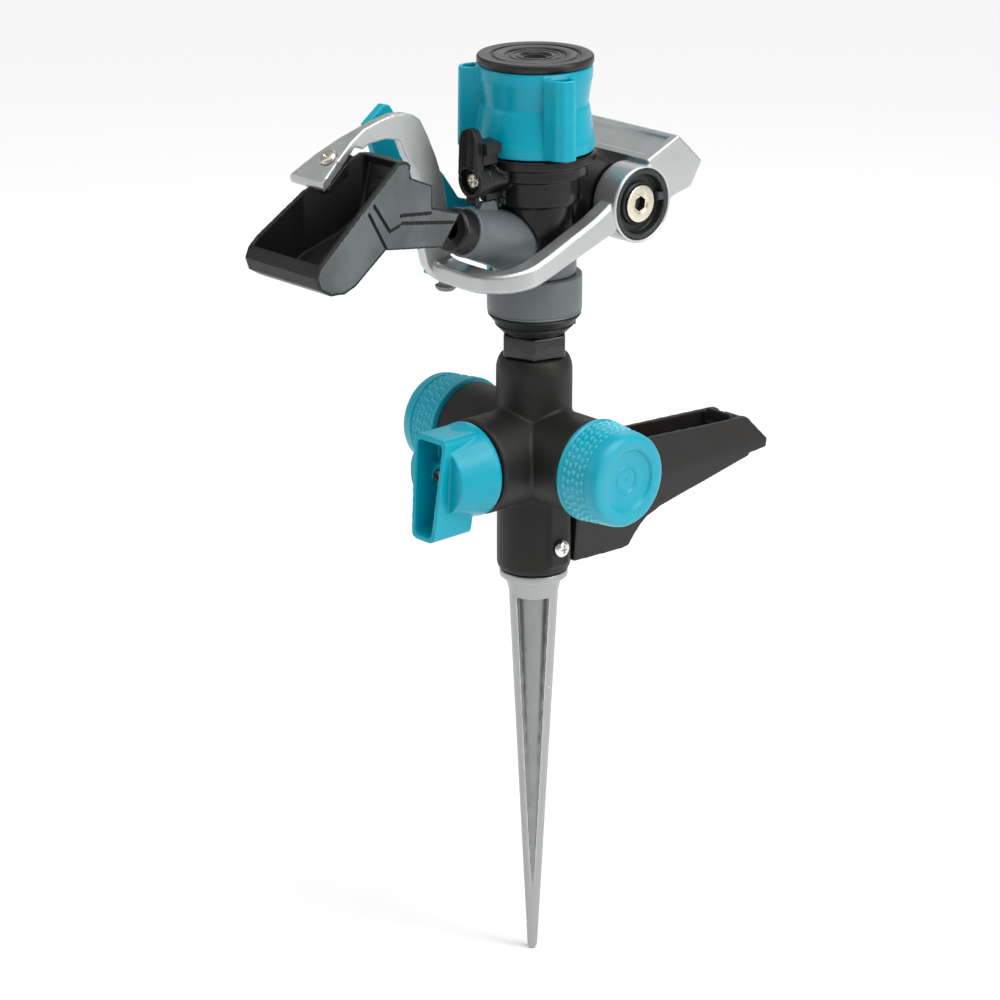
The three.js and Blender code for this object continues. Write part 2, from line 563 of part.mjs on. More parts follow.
// The saddle that widens from the hook and lies on the spoon.
function armSaddle() {
  const row = (s, left, right, top) => [
    [left, ...saddlePoint(s, RUNNING_GAP)],
    [right, ...saddlePoint(s, RUNNING_GAP)],
    [left + 0.6, ...saddlePoint(s, top)],
    [right, ...saddlePoint(s, top)],
  ];
  const tip = [...row(31.6, -32.8, -12.6, 2.2), ...row(33, -32.8, -12.6, 3.8)];
  const middle = row(44, -27.8, -13.2, 4);
  const heel = row(54, -23, HOOK_X[1], 3.3);
  const shoulder = HOOK_X.flatMap((x) => [[x, -71, 193], [x, -70, 200.2]]);
  return join(hull([...tip, ...middle]), hull([...middle, ...heel]), hull([...heel, ...shoulder]));
}

// Swing arm casting: pivot ring, ribbon with the hook and saddle, and the counterweight.
function swingArm() {
  const ringBody = bar(RING_R, RING_X[0], RING_X[1], "x", [0, PIVOT_Y, PIVOT_Z], 30);
  const weight = [[34.7, 175.1], [52.3, 182.4], [65.8, 169.8], [59.6, 160], [48.1, 157.5]];
  const block = prismX(weight, -26, RING_X[1]);
  const web = prismX([[31, 168], [38, 175], [50, 158.4], [42, 149]], 17, 28.4);
  const recess = hull([
    [-23.4, 37.8, 178.4],
    [-23.4, 50, 183.4],
    [25.6, 37.8, 178.4],
    [25.6, 50, 183.4],
    [-22.6, 38.4, 175],
    [-22.6, 50.2, 179.9],
    [24.8, 38.4, 175],
    [24.8, 50.2, 179.9],
  ]);
  const screwHole = onSaddle(bar(2, -5, 12, "z", [0, 0, 0], 16).add(bar(3.9, 3.6, 12)), 0);
  const bumperSeat = bar(3.2, 128.4, 131.8, "z", [-14, -35.4, 0], 18);
  return cut(
    join(ringBody, block, web, armRibbon(), armHook(), armSaddle()),
    bar(14.6, RING_X[0] + 1.6, 40, "x", [0, PIVOT_Y, PIVOT_Z], 30),
    bar(6.6, 0, 40, "x", [0, PIVOT_Y, PIVOT_Z], 22),
    recess,
    screwHole,
    bumperSeat,
  );
}

// Spring cover and bush in the pivot ring, with a key in its open face.
function pivotCover() {
  const profile = [[5.25, 18.2], [7.6, 18.2], [7.6, 23.2], [14.3, 23.2], [14.3, 28.6], [12.3, 28.6]];
  profile.push([11.7, 25.2], [8.9, 25.2], [8.9, 26.5], [8.1, 27], [5.25, 24.1], [5.25, 18.2]);
  const cover = turned(profile, "x", [0, PIVOT_Y, PIVOT_Z], 24);
  const key = box(25, 28.4, PIVOT_Y + 8.8, PIVOT_Y + 12.8, PIVOT_Z - 0.2, PIVOT_Z + 3);
  return cover.add(key);
}

// Countersunk pivot bolt with a hexagon socket.
function pivotBolt() {
  const profile = [[0, -8], [4.2, -8], [4.9, -7], [4.9, 24.3], [7.6, 27.1], [7.6, 27.8], [0, 27.7]];
  const socket = prismX(
    regularPolygon(6, 3.2, 22).map(([a, b]) => [PIVOT_Y + a, PIVOT_Z + b]),
    24.2,
    30,
  );
  return cut(turned(profile, "x", [0, PIVOT_Y, PIVOT_Z], 24), socket);
}

// Torsion spring coiled round the cover's hub.
class Helix extends THREE.Curve {
  constructor(radius, from, to, turns) {
    super();
    Object.assign(this, { radius, from, to, turns });
  }
  getPoint(t, target = new THREE.Vector3()) {
    const angle = t * this.turns * 2 * Math.PI;
    const x = this.from + (this.to - this.from) * t;
    return target.set(x, PIVOT_Y + this.radius * Math.cos(angle), PIVOT_Z + this.radius * Math.sin(angle));
  }
}
function returnSpring() {
  const wire = new THREE.Shape(regularPolygon(6, 0.62, 0).map(([a, b]) => new THREE.Vector2(a, b)));
  const path = new Helix(11.2, 18.9, 22.3, 2.25);
  return solid(new THREE.ExtrudeGeometry(wire, { steps: 40, extrudePath: path, bevelEnabled: false }));
}

// Spoon: a scoop whose mouth looks forward and up, with a side channel that takes the jet.
function spoon() {
  const [x0, x1] = SPOON_X;
  const scoop = [[-122.5, 157], [-124.3, 153], [-122.6, 148], [-117, 144.7], [-110, 144.2], [-104.6, 146.2]];
  scoop.push([-88, 158.5], [-81.4, 166], [-76.2, 188.6], [-78, 190.4], saddlePoint(52.6, 0));
  const throat = [[-90, 157.6], [-86.4, 157], [-60, 153.2], [-50.6, 165.4], [-65, 170], [-65, 178.8]];
  throat.push([-76.6, 184], [-76.2, 188.6], [-82, 185]);
  const cavity = [[-121.2, 157.2], [-121.4, 152.8], [-117, 147.2], [-110, 146.3], [-105.6, 148.1]];
  cavity.push([-89.8, 159.8], [-84, 166.6], [-79.4, 187], [-90, 200], [-135, 165]);
  const plan = [[x0, -126], [x1, -126], [x1, -74], [-9.6, -74], [-10.6, -81.6], [-24.9, -100], [x0, -118]];
  const room = [[x0 + 1.8, -126], [x1 - 1.8, -126], [x1 - 1.8, -74], [-7.8, -74], [-8.8, -82.4]];
  room.push([-23.2, -100.8], [x0 + 1.8, -118.4]);
  const outer = join(prismX(scoop, x0, x1).intersect(prismZ(plan, 130, 210)), prismX(throat, -9.8, 11.6));
  const inside = prismX(cavity, x0 + 1.8, x1 - 1.8).intersect(prismZ(room, 130, 210));
  const roofPoints = [saddlePoint(33, 0), saddlePoint(52, 0), saddlePoint(52, -3), saddlePoint(33, -3)];
  const roofPlan = [[-31, -97.6], [-12.6, -97.6], [-12.6, -84], [-24, -84]];
  const roof = prismX(roofPoints, -27.6, -12.6).intersect(prismZ(roofPlan, 170, 200));
  const channel = [[-95, 163], [-60.6, 155.4], [-40, 150], [-40, 174], [-67.6, 177], [-79, 182.6]];
  channel.push([-95, 178]);
  const jetway = prismX(channel, -7.9, 9.6);
  const screwHole = onSaddle(bar(1.8, -12, 5, "z", [0, 0, 0], 16), 0);
  const post = onSaddle(bar(3.4, -9, -1), 0);
  return cut(join(cut(outer, inside), roof, post), jetway, screwHole);
}

function saddleScrew() {
  return onSaddle(panScrew(3.5, 1.6, 1.6, 14), 3.9);
}

// Trip lever: a paddle behind the hook, a finger below it and a dog that meets the stop rings.
function tripLever() {
  const paddle = [[-63.4, 195.2], [-54, 201.9], [-51, 201.2], [-47.4, 195.8], [-22.6, 168.2], [-14.6, 157.4]];
  paddle.push([-3, 153.8], [1, 148], [-3, 142], [-13, 141.6], [-26, 127.4], [-31, 128.4]);
  paddle.push([-31, 141], [-27, 150], [-38, 163], [-58, 180.6]);
  const plate = prismX(paddle, -32.6, -29);
  const hub = bar(5.6, 24.2, 32.6, "-x", [0, TRIP_Y, TRIP_Z], 22);
  const dog = prismX([[-5, 147], [1.6, 147], [8.6, 110], [8.6, 103.4], [3, 103.4], [2, 110]], -27.6, -24.6);
  const foot = box(-27.6, -19.8, 3, 8.6, 103.4, 107.4);
  const pivot = [0, TRIP_Y, TRIP_Z];
  const socket = bar(3.5, 20, 28.7, "-x", pivot);
  return cut(join(plate, hub, dog, foot), socket, bar(2.3, 20, 40, "-x", pivot, 16));
}

function tripPin() {
  return panScrew(4, 1.8, 1.75, 16).rotate([0, -90, 0]).translate([-32.9, TRIP_Y, TRIP_Z]);
}

add("ground_spike", spike(), 0xa9abaa, 0.42, 0.85);
add("base_body", baseBody(), BLACK, 0.62, 0);
add("foot_pedal", footPedal(), BLACK, 0.66, 0);
const spikeScrew = panScrew(3.7, 2.3, 1.65, 10).rotate([0, 90, 0]);
add("spike_screw", spikeScrew.translate([16.2, 0, SCREW_Z]), STEEL, 0.28, 0.95);
add("port_cap_right", portCap("x", 0), TEAL, 0.4, 0);
add("port_cap_left", portCap("-x", -LEFT_EXTRA), TEAL, 0.4, 0);
add("cap_washer_right", capWasher("x", 0), RUBBER, 0.8, 0);
add("cap_washer_left", capWasher("-x", -LEFT_EXTRA), RUBBER, 0.8, 0);
add("valve_plug", valvePlug(), SATIN_BLACK, 0.4, 0);
add("plug_o_ring", oRing(10.7, 0.95, "y", [0, -18, CROSS_Z]), RUBBER, 0.7, 0);
add("valve_retainer", ring(5.3, 15.7, 28.3, 34.6, "-y", [0, 0, CROSS_Z]), SATIN_BLACK, 0.5, 0);
add("valve_handle", valveHandle(), TEAL, 0.32, 0);
const valveScrew = panScrew(3.2, 2, 1.7, 13).rotate([90, 0, 0]);
add("valve_screw", valveScrew.translate([0, -51.3, CROSS_Z]), STEEL, 0.3, 0.95);
add("sleeve_gasket", ring(6.6, 10, 75.8, 77.1), RUBBER, 0.8, 0);
add("bearing_sleeve", bearingSleeve(), SATIN_BLACK, 0.3, 0);
add("stop_ring_lower", stopRing(105.3, 13.2, 108.9, 16, 90), BLACK, 0.5, 0);
add("stop_ring_upper", stopRing(109.2, 16.2, 113.4, 18.9, 120), BLACK, 0.5, 0);
add("collar_nut", collarNut(), GREY, 0.5, 0);
add("thrust_washer", ring(8.8, 13.8, 117.1, 118.6), 0xe6e2d8, 0.5, 0);
add("bearing_seal", ring(6.6, 12.6, 121.6, 123.5), RUBBER, 0.8, 0);
add("water_elbow", waterElbow(), GREY, 0.45, 0);
add("head_housing", headHousing(), SATIN_BLACK, 0.42, 0);
for (const [name, side] of [["housing_screw_right", 1], ["housing_screw_left", -1]])
  add(name, panScrew(3, 2, 1.5, 13).translate([side * 8.6, 6, 161.8]), STEEL, 0.3, 0.95);
add("nozzle", nozzle(), BLACK, 0.35, 0);
add("nozzle_seal", nozzleSeal(), RUBBER, 0.7, 0);
add("range_dial", rangeDial(), TEAL, 0.25, 0);
add("dial_disc", dialDisc(), BLACK, 0.35, 0);
add("dial_screw", panScrew(3.9, 2.4, 1.9, 18).translate([0, 0, 211.7]), STEEL, 0.3, 0.95);
add("deflector_lever", deflectorLever(), BLACK, 0.4, 0);
const deflectorScrew = panScrew(3.4, 1.9, 1.8, 12).rotate([90, 0, 0]);
add("deflector_screw", deflectorScrew.translate([0, -32.5, DEFLECTOR_Z]), STEEL, 0.3, 0.95);
add("swing_arm", swingArm(), SILVER, 0.42, 0.9);
add("pivot_cover", pivotCover(), SATIN_BLACK, 0.4, 0);
add("pivot_bolt", pivotBolt(), STEEL, 0.3, 0.95);
add("return_spring", returnSpring(), STEEL, 0.3, 0.95);
const button = [[0, 126], [3, 126], [4.2, 127.2], [4.4, 128.1], [2.9, 128.1], [2.9, 131.4], [0, 131.4]];
add("arm_bumper", turned(button, "z", [-14, -35.4, 0], 22), GREY, 0.8, 0);
add("spoon", spoon(), BLACK, 0.42, 0);
add("spoon_screw", saddleScrew(), STEEL, 0.3, 0.95);
add("trip_lever", tripLever(), TEAL, 0.35, 0);
add("trip_pin", tripPin(), STEEL, 0.3, 0.95);

export default root;
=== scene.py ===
import json
import math

import bmesh
import bpy
from mathutils import Matrix, Vector

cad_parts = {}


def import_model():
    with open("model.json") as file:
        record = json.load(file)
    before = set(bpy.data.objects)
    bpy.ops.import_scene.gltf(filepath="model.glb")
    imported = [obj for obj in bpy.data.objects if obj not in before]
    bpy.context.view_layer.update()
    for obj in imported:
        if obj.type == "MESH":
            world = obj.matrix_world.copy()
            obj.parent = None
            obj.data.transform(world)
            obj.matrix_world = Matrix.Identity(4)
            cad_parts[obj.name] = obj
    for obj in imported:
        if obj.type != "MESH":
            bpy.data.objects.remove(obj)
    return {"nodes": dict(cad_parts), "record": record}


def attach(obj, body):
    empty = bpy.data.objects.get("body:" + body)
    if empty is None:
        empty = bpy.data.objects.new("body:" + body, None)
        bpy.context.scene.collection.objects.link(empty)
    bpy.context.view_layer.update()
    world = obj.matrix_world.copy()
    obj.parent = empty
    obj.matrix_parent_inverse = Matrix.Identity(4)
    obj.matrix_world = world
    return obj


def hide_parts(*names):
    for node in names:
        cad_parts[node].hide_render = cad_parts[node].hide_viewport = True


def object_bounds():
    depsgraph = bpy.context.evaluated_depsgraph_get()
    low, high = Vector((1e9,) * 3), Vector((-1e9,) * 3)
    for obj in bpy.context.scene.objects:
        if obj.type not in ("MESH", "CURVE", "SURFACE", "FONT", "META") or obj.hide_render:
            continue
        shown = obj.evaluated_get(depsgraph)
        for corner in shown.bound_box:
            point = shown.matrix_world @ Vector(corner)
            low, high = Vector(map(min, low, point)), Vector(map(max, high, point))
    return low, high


# An impulse lawn sprinkler on a ground spike. Every piece is built in millimetres round the
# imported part, with the spike's flange at z = 0, and stands for one CAD node.
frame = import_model()
cad_low, cad_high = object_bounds()
MM = 0.001

# Dimensions shared with the CAD, in millimetres
RUNNING_GAP = 0.3  # between parts that slide or sit in one another
LOWER_TUBE_R = 15.3
SCREW_Z = 15.5  # height of the screw that holds the spike
CROSS_Z = 54.4  # height of the port crossing
BARREL_R = 19.8
BARREL_END = 34.2  # from the crossing
LEFT_EXTRA = 4.6  # the left barrel is this much longer
HEX_R = 14.4
HEX_TURN = -43.5  # a corner of the sleeve's hexagon, in degrees from +X
ELBOW_Z = 140.7  # where the jet's axis meets the head's
JET_RISE = math.radians(18)
PIVOT = (32.2, 157.4)  # the arm's pivot, (y, z)
MOUTH_LIP = (-122.5, 157.0)  # the spoon's outer lip, (y, z)
MOUTH_ANGLE = math.radians(40.2)  # slope of the spoon's mouth, which the saddle follows
SADDLE_SCREW = (-19.0, 44.2)  # x, and distance from the lip up the slope
BUMPER_PLACE = (-14, -35.4, 0)
DEFLECTOR_Z = 173
TRIP = (-6.0, 148.0)  # the trip lever's pivot, (y, z)
WING_ANGLES = (-18.5, -138.5, 101.5)  # the dial's wings, in degrees from +X

# Details that only the look has
MARK_TURN = 46.6  # the ejector marks face this way round the spike, in degrees from -Y
KNURL_ROWS, KNURL_COLUMNS = 5, 38
KNURL_RELIEF = 0.75
KNURL_LOW, KNURL_HIGH = 37.4, 49.2  # from the crossing
TOOTH_COUNT, TOOTH_FIRST, TOOTH_PITCH = 17, -52, 5.6  # on the pivot ring, in degrees

# Studio, in metres. The camera was solved from the photograph.
CAMERA_PLACE = (1.0074, -0.9527, 0.5205)
CAMERA_AIM = (-0.00956, -0.01011, 0.0322)
LENS, SENSOR = 128.6, 36
LIGHT_AIM = Vector((0, 0, 0.09))
WORLD_STRENGTH = 0.38
FLOOR_GAP = 0.0002  # below the spike's tip

SMOOTH = 180  # shading angle, in degrees, that leaves no sharp edge


# ---------------------------------------------------------------- solids
def to_object(name, bm):
    bmesh.ops.recalc_face_normals(bm, faces=bm.faces)
    mesh = bpy.data.meshes.new(name)
    bm.to_mesh(mesh)
    bm.free()
    obj = bpy.data.objects.new(name, mesh)
    bpy.context.collection.objects.link(obj)
    return obj


# From +Z to the named axis
AXIS_TURN = {
    "z": Matrix.Identity(4),
    "x": Matrix.Rotation(math.radians(90), 4, "Y"),
    "-x": Matrix.Rotation(math.radians(-90), 4, "Y"),
    "-y": Matrix.Rotation(math.radians(90), 4, "X"),
}


def moved(obj, matrix):
    obj.data.transform(matrix)
    return obj


def shift(x, y, z):
    return Matrix.Translation((x * MM, y * MM, z * MM))


def turn(degrees, axis):
    return Matrix.Rotation(math.radians(degrees), 4, axis)


def lathe(profile, axis="z", at=(0, 0, 0), segments=96):
    """Turns (radius, height) pairs about an axis.

    A profile that starts and ends on the same point makes a ring.
    """
    bm = bmesh.new()
    closed = profile[0] == profile[-1] and profile[0][0] > 0
    points = profile[:-1] if closed else profile
    rings = []
    for r, h in points:
        if r <= 1e-6:
            rings.append([bm.verts.new((0, 0, h * MM))])
            continue
        angles = [2 * math.pi * i / segments for i in range(segments)]
        rings.append([bm.verts.new((r * MM * math.cos(a), r * MM * math.sin(a), h * MM)) for a in angles])
    for low, high in zip(rings, rings[1:] + rings[:1] if closed else rings[1:]):
        for i in range(segments):
            j = (i + 1) % segments
            if len(low) == 1:
                bm.faces.new((low[0], high[i], high[j]))
            elif len(high) == 1:
                bm.faces.new((low[i], low[j], high[0]))
            else:
                bm.faces.new((low[i], low[j], high[j], high[i]))
    return moved(to_object("lathe", bm), shift(*at) @ AXIS_TURN[axis])


def bar(radius, low, high, axis="z", at=(0, 0, 0), segments=64):
    return lathe([(0, low), (radius, low), (radius, high), (0, high)], axis, at, segments)


def ring(inner, outer, low, high, axis="z", at=(0, 0, 0), segments=96):
    profile = [(inner, low), (outer, low), (outer, high), (inner, high), (inner, low)]
    return lathe(profile, axis, at, segments)


def prism(points, low, high, along):
    """A prism of an outline: (y, z) along x, (x, z) along y or (x, y) along z."""
    point = {
        "x": lambda a, b, h: (h * MM, a * MM, b * MM),
        "y": lambda a, b, h: (a * MM, h * MM, b * MM),
        "z": lambda a, b, h: (a * MM, b * MM, h * MM),
    }[along]
    bm = bmesh.new()
    first = [bm.verts.new(point(a, b, low)) for a, b in points]
    last = [bm.verts.new(point(a, b, high)) for a, b in points]
    count = len(points)
    bm.faces.new(first)
    bm.faces.new(last[::-1])
    for i in range(count):
        j = (i + 1) % count
        bm.faces.new((first[i], last[i], last[j], first[j]))
    return to_object("prism", bm)


def rounded(points, radius):
    """An outline with its corners rounded off."""
    steps = 7
    made = []
    count = len(points)
    for i in range(count):
        corner = Vector(points[i])
        before = (Vector(points[i - 1]) - corner).normalized() * radius
        after = (Vector(points[(i + 1) % count]) - corner).normalized() * radius
        for k in range(steps + 1):
            t = k / steps
            made.append(tuple(corner + before * (1 - t) ** 2 + after * t**2))
    return made


def hexagon(radius, degrees):
    """A regular hexagon with one corner at an angle."""
    angles = [math.radians(60 * i + degrees) for i in range(6)]
    return [(radius * math.cos(a), radius * math.sin(a)) for a in angles]


def box(x0, x1, y0, y1, z0, z1):
    return prism([(x0, y0), (x1, y0), (x1, y1), (x0, y1)], z0, z1, "z")


def hull(points):
    """The convex solid round some points."""
    bm = bmesh.new()
    for p in points:
        bm.verts.new([v * MM for v in p])
    made = bmesh.ops.convex_hull(bm, input=bm.verts)
    spare = made["geom_interior"] + made["geom_unused"]
    loose = {v for v in spare if isinstance(v, bmesh.types.BMVert)}
    bmesh.ops.delete(bm, geom=list(loose), context="VERTS")
    bmesh.ops.dissolve_limit(bm, angle_limit=math.radians(0.5), verts=bm.verts, edges=bm.edges)
    return to_object("hull", bm)


def skin(sections):
    """A closed solid through sections that each have the same number of points."""
    bm = bmesh.new()
    rings = [[bm.verts.new([v * MM for v in p]) for p in section] for section in sections]
    count = len(rings[0])
    bm.faces.new(rings[0])
    bm.faces.new(rings[-1][::-1])
    for low, high in zip(rings, rings[1:]):
        for i in range(count):
            j = (i + 1) % count
            bm.faces.new((low[i], high[i], high[j], low[j]))
    return to_object("skin", bm)


def remove(obj):
    mesh = obj.data
    bpy.data.objects.remove(obj, do_unlink=True)
    bpy.data.meshes.remove(mesh)


def applied(obj):
    """The same object with its modifiers made real."""
    graph = bpy.context.evaluated_depsgraph_get()
    mesh = bpy.data.meshes.new_from_object(obj.evaluated_get(graph))
    old = obj.data
    obj.modifiers.clear()
    obj.data = mesh
    bpy.data.meshes.remove(old)
    return obj


def combine(base, operation, tools):
    for tool in tools:
        mod = base.modifiers.new("cut", "BOOLEAN")
        mod.operation = operation
        mod.solver = "MANIFOLD"
        mod.object = tool
    applied(base)
    for tool in tools:
        remove(tool)
    return base


def join(base, *others):
    return combine(base, "UNION", others)


def cut(base, *tools):
    return combine(base, "DIFFERENCE", tools)


def common(base, *tools):
    return combine(base, "INTERSECT", tools)


def merged(base, *others):
    """Puts meshes in one object without a boolean."""
    bm = bmesh.new()
    for o in (base, *others):
        bm.from_mesh(o.data)
    bm.to_mesh(base.data)
    bm.free()
    for o in others:
        remove(o)
    return base


def moulded(obj, voxel, rounds):
    """Rounds every edge of a solid a little, as a moulded or cast part has it."""
    mod = obj.modifiers.new("even", "REMESH")
    mod.mode = "VOXEL"
    mod.voxel_size = voxel * MM
    mod.use_smooth_shade = True
    soft = obj.modifiers.new("soft", "SMOOTH")
    soft.factor = 0.5
    soft.iterations = rounds
    return applied(obj)


def edged(obj, width, limit=28, segments=3):
    """Bevels the sharp edges of a clean turned or prismatic piece."""
    weld = obj.modifiers.new("weld", "WELD")
    weld.merge_threshold = 0.00001
    mod = obj.modifiers.new("edge", "BEVEL")
    mod.width = width * MM
    mod.segments = segments
    mod.limit_method = "ANGLE"
    mod.angle_limit = math.radians(limit)
    return applied(obj)


def shaded(obj, limit):
    for polygon in obj.data.polygons:
        polygon.use_smooth = True
    if limit < SMOOTH:
        obj.data.set_sharp_from_angle(angle=math.radians(limit))


# ---------------------------------------------------------------- materials
def linear(rgb):
    """A display colour of 0 to 255 as a scene colour."""
    shares = [c / 255 for c in rgb]
    return tuple(c / 12.92 if c <= 0.04045 else ((c + 0.055) / 1.055) ** 2.4 for c in shares) + (1.0,)


class Shader:
    """A Principled material that is built up in steps, with noise in object space."""

    def __init__(self, name, rgb, roughness, metallic=0.0, specular=0.5, coat=0.0, coat_roughness=0.1):
        self.material = bpy.data.materials.new(name)
        self.material.use_nodes = True
        self.tree = self.material.node_tree
        self.bsdf = self.tree.nodes["Principled BSDF"]
        self.color = linear(rgb)
        self.set("Base Color", self.color)
        self.set("Roughness", roughness)
        self.set("Metallic", metallic)
        self.set("Specular IOR Level", specular)
        self.set("Coat Weight", coat)
        self.set("Coat Roughness", coat_roughness)
        self.roughness = roughness
        self.place = self.tree.nodes.new("ShaderNodeTexCoord").outputs["Object"]
        self.normal = None

    def set(self, socket, value):
        self.bsdf.inputs[socket].default_value = value

    def noise(self, scale, detail=4.0):
        node = self.tree.nodes.new("ShaderNodeTexNoise")
        node.inputs["Scale"].default_value = scale
        node.inputs["Detail"].default_value = detail
        node.inputs["Roughness"].default_value = 0.55
        self.tree.links.new(self.place, node.inputs["Vector"])
        return node.outputs["Fac"]

    def spread(self, value, low, high, out_low, out_high):
        node = self.tree.nodes.new("ShaderNodeMapRange")
        limits = {"From Min": low, "From Max": high, "To Min": out_low, "To Max": out_high}
        for name, number in limits.items():
            node.inputs[name].default_value = number
        self.tree.links.new(value, node.inputs["Value"])
        return node.outputs["Result"]

    def vary_roughness(self, scale, amount):
        low, high = self.roughness - amount, self.roughness + amount
        value = self.spread(self.noise(scale), 0.3, 0.7, low, high)
        self.tree.links.new(value, self.bsdf.inputs["Roughness"])
        return self

    def bump(self, scale, strength, distance=0.0001, detail=3.0):
        node = self.tree.nodes.new("ShaderNodeBump")
        node.inputs["Strength"].default_value = strength
        node.inputs["Distance"].default_value = distance
        self.tree.links.new(self.noise(scale, detail), node.inputs["Height"])
        if self.normal is not None:
            self.tree.links.new(self.normal, node.inputs["Normal"])
        self.normal = node.outputs["Normal"]
        self.tree.links.new(self.normal, self.bsdf.inputs["Normal"])
        return self

    def mix(self, rgb, value, low, high, amount):
        """Lays a second colour over the first, as a value goes from low to high."""
        node = self.tree.nodes.new("ShaderNodeMix")
        node.data_type = "RGBA"
        colors = [socket for socket in node.inputs if socket.type == "RGBA"]
        base = self.bsdf.inputs["Base Color"]
        self.tree.links.new(self.spread(value, low, high, 0.0, amount), node.inputs[0])
        if base.is_linked:
            self.tree.links.new(base.links[0].from_socket, colors[0])
        else:
            colors[0].default_value = self.color
        colors[1].default_value = linear(rgb)
        made = next(socket for socket in node.outputs if socket.type == "RGBA")
        self.tree.links.new(made, base)
        return self

    def tint(self, rgb, scale, low=0.35, high=0.65, amount=1.0):
        """Mixes in a second colour by noise."""
        return self.mix(rgb, self.noise(scale, 5.0), low, high, amount)

    def edge_highlight(self, rgb, low, high, amount):
        """Mixes in a second, lighter colour along the edges: a painted highlight."""
        point = self.tree.nodes.new("ShaderNodeNewGeometry").outputs["Pointiness"]
        return self.mix(rgb, point, low, high, amount)


def teal(name, roughness, grain, edge=0.4, specular=0.26):
    made = Shader(name, (0, 158, 180), roughness, specular=specular, coat=0.08, coat_roughness=0.2)
    # The lighter teal mixed in along the edges is a painted highlight.
    made.tint((0, 150, 172), 60, amount=0.5).edge_highlight((96, 205, 220), 0.53, 0.62, edge)
    made.vary_roughness(90, 0.04).bump(2600, grain, 0.00006)
    made.set("Subsurface Weight", 0.06)
    made.set("Subsurface Radius", (0.0004, 0.0012, 0.0014))
    made.set("Subsurface Scale", 0.6)
    return made.material


def black(name, roughness, grain, rgb=(24, 23, 22), edge=(58, 56, 54), coat=0.0):
    made = Shader(name, rgb, roughness, specular=0.3, coat=coat, coat_roughness=0.15)
    # The lighter colour mixed in along the edges is a painted highlight.
    made.tint((31, 30, 28), 45, amount=0.5).edge_highlight(edge, 0.52, 0.6, 0.45)
    made.vary_roughness(120, 0.05).bump(1500, grain, 0.00012).bump(4200, grain * 0.5, 0.00005)
    return made.material


def casting(name, rgb, roughness, grain, painted_shade=False):
    made = Shader(name, rgb, roughness, metallic=0.82, specular=0.5)
    # With painted shade the casting gets a darker tint and no edge highlight.
    if painted_shade:
        made.tint((134, 136, 135), 70, 0.35, 0.7, 0.5)
    else:
        # The near-white mixed in along the edges is a painted highlight.
        made.tint((168, 170, 170), 55, 0.35, 0.7, 0.35).edge_highlight((236, 236, 232), 0.515, 0.58, 0.6)
    made.vary_roughness(160, 0.06).bump(2400, grain, 0.0001, 2.0).bump(500, grain * 0.35, 0.00015, 2.0)
    return made.material


def steel(name, rgb=(214, 208, 196), roughness=0.26):
    made = Shader(name, rgb, roughness, metallic=1.0)
    made.tint((176, 168, 152), 700, 0.4, 0.7, 0.35).vary_roughness(900, 0.06).bump(4200, 0.1, 0.00003)
    return made.material


def rubber(name, rgb=(26, 26, 26)):
    made = Shader(name, rgb, 0.8, specular=0.3)
    made.tint((40, 40, 40), 80, amount=0.6).vary_roughness(200, 0.06).bump(2800, 0.3, 0.0001)
    return made.material


# The edge colours and amounts below set each material's painted highlight along its edges.
TEAL_CAPS = teal("teal_satin", 0.34, 0.1, edge=0.55, specular=0.42)
TEAL_HANDLE = teal("teal_handle", 0.3, 0.06, edge=0.08)
TEAL_DIAL = teal("teal_gloss", 0.26, 0.03)
TEAL_LEVER = teal("teal_lever", 0.36, 0.06)
BASE_BLACK = black("base_black", 0.5, 0.5, rgb=(27, 26, 24))
PEDAL_BLACK = black("pedal_black", 0.46, 0.5, rgb=(34, 32, 31), edge=(96, 92, 90))
SLEEVE_BLACK = black("sleeve_black", 0.24, 0.05, coat=0.4)
RING_BLACK = black("ring_black", 0.46, 0.15)
HOUSING_BLACK = black("housing_black", 0.24, 0.04, rgb=(11, 11, 11), edge=(44, 44, 44), coat=0.1)
LEVER_BLACK = black("lever_black", 0.34, 0.1, rgb=(24, 24, 24), edge=(76, 75, 74))
SPOON_BLACK = black("spoon_black", 0.42, 0.12, rgb=(17, 18, 18), edge=(80, 84, 84))
SPOON_PANEL = black("spoon_panel", 0.42, 0.16, rgb=(94, 101, 102), edge=(116, 122, 123))
DISC_BLACK = black("disc_black", 0.34, 0.12, rgb=(20, 20, 19), edge=(84, 82, 78))
NOZZLE_BLACK = black("nozzle_black", 0.26, 0.03, rgb=(14, 14, 14), edge=(26, 26, 26))
COVER_BLACK = black("cover_black", 0.36, 0.12, rgb=(34, 38, 40), edge=(76, 80, 84))
GREY = (
    Shader("grey_plastic", (88, 94, 97), 0.4)
    .tint((96, 102, 105), 50, amount=0.5)
    .vary_roughness(110, 0.05)
    .bump(2800, 0.12, 0.00007)
    .material
)
NYLON = Shader("nylon", (228, 224, 212), 0.45).tint((214, 208, 194), 90).bump(1500, 0.1).material
ARM_SILVER = casting("arm_silver", (188, 191, 190), 0.4, 0.3)
SPIKE_SILVER = casting("spike_silver", (164, 166, 165), 0.36, 0.2)
# A darker casting for the spike's recessed panels: painted shade.
SPIKE_PANEL_SHADE = casting("spike_panel_shade", (150, 152, 151), 0.46, 0.25, painted_shade=True)
STEEL = steel("screw_steel")
# Dark steel for the valve screw, and also painted shade inside the pivot bolt's hex socket.
DARK_STEEL_AND_SHADE = steel("dark_steel_and_shade", (60, 60, 60), 0.4)
BOLT_STEEL = steel("bolt_steel", (226, 218, 200), 0.3)
PLATED = steel("plated_steel", (226, 226, 224), 0.18)
RUBBER = rubber("seal_rubber")
BUMPER = rubber("bumper_rubber", (140, 146, 149))

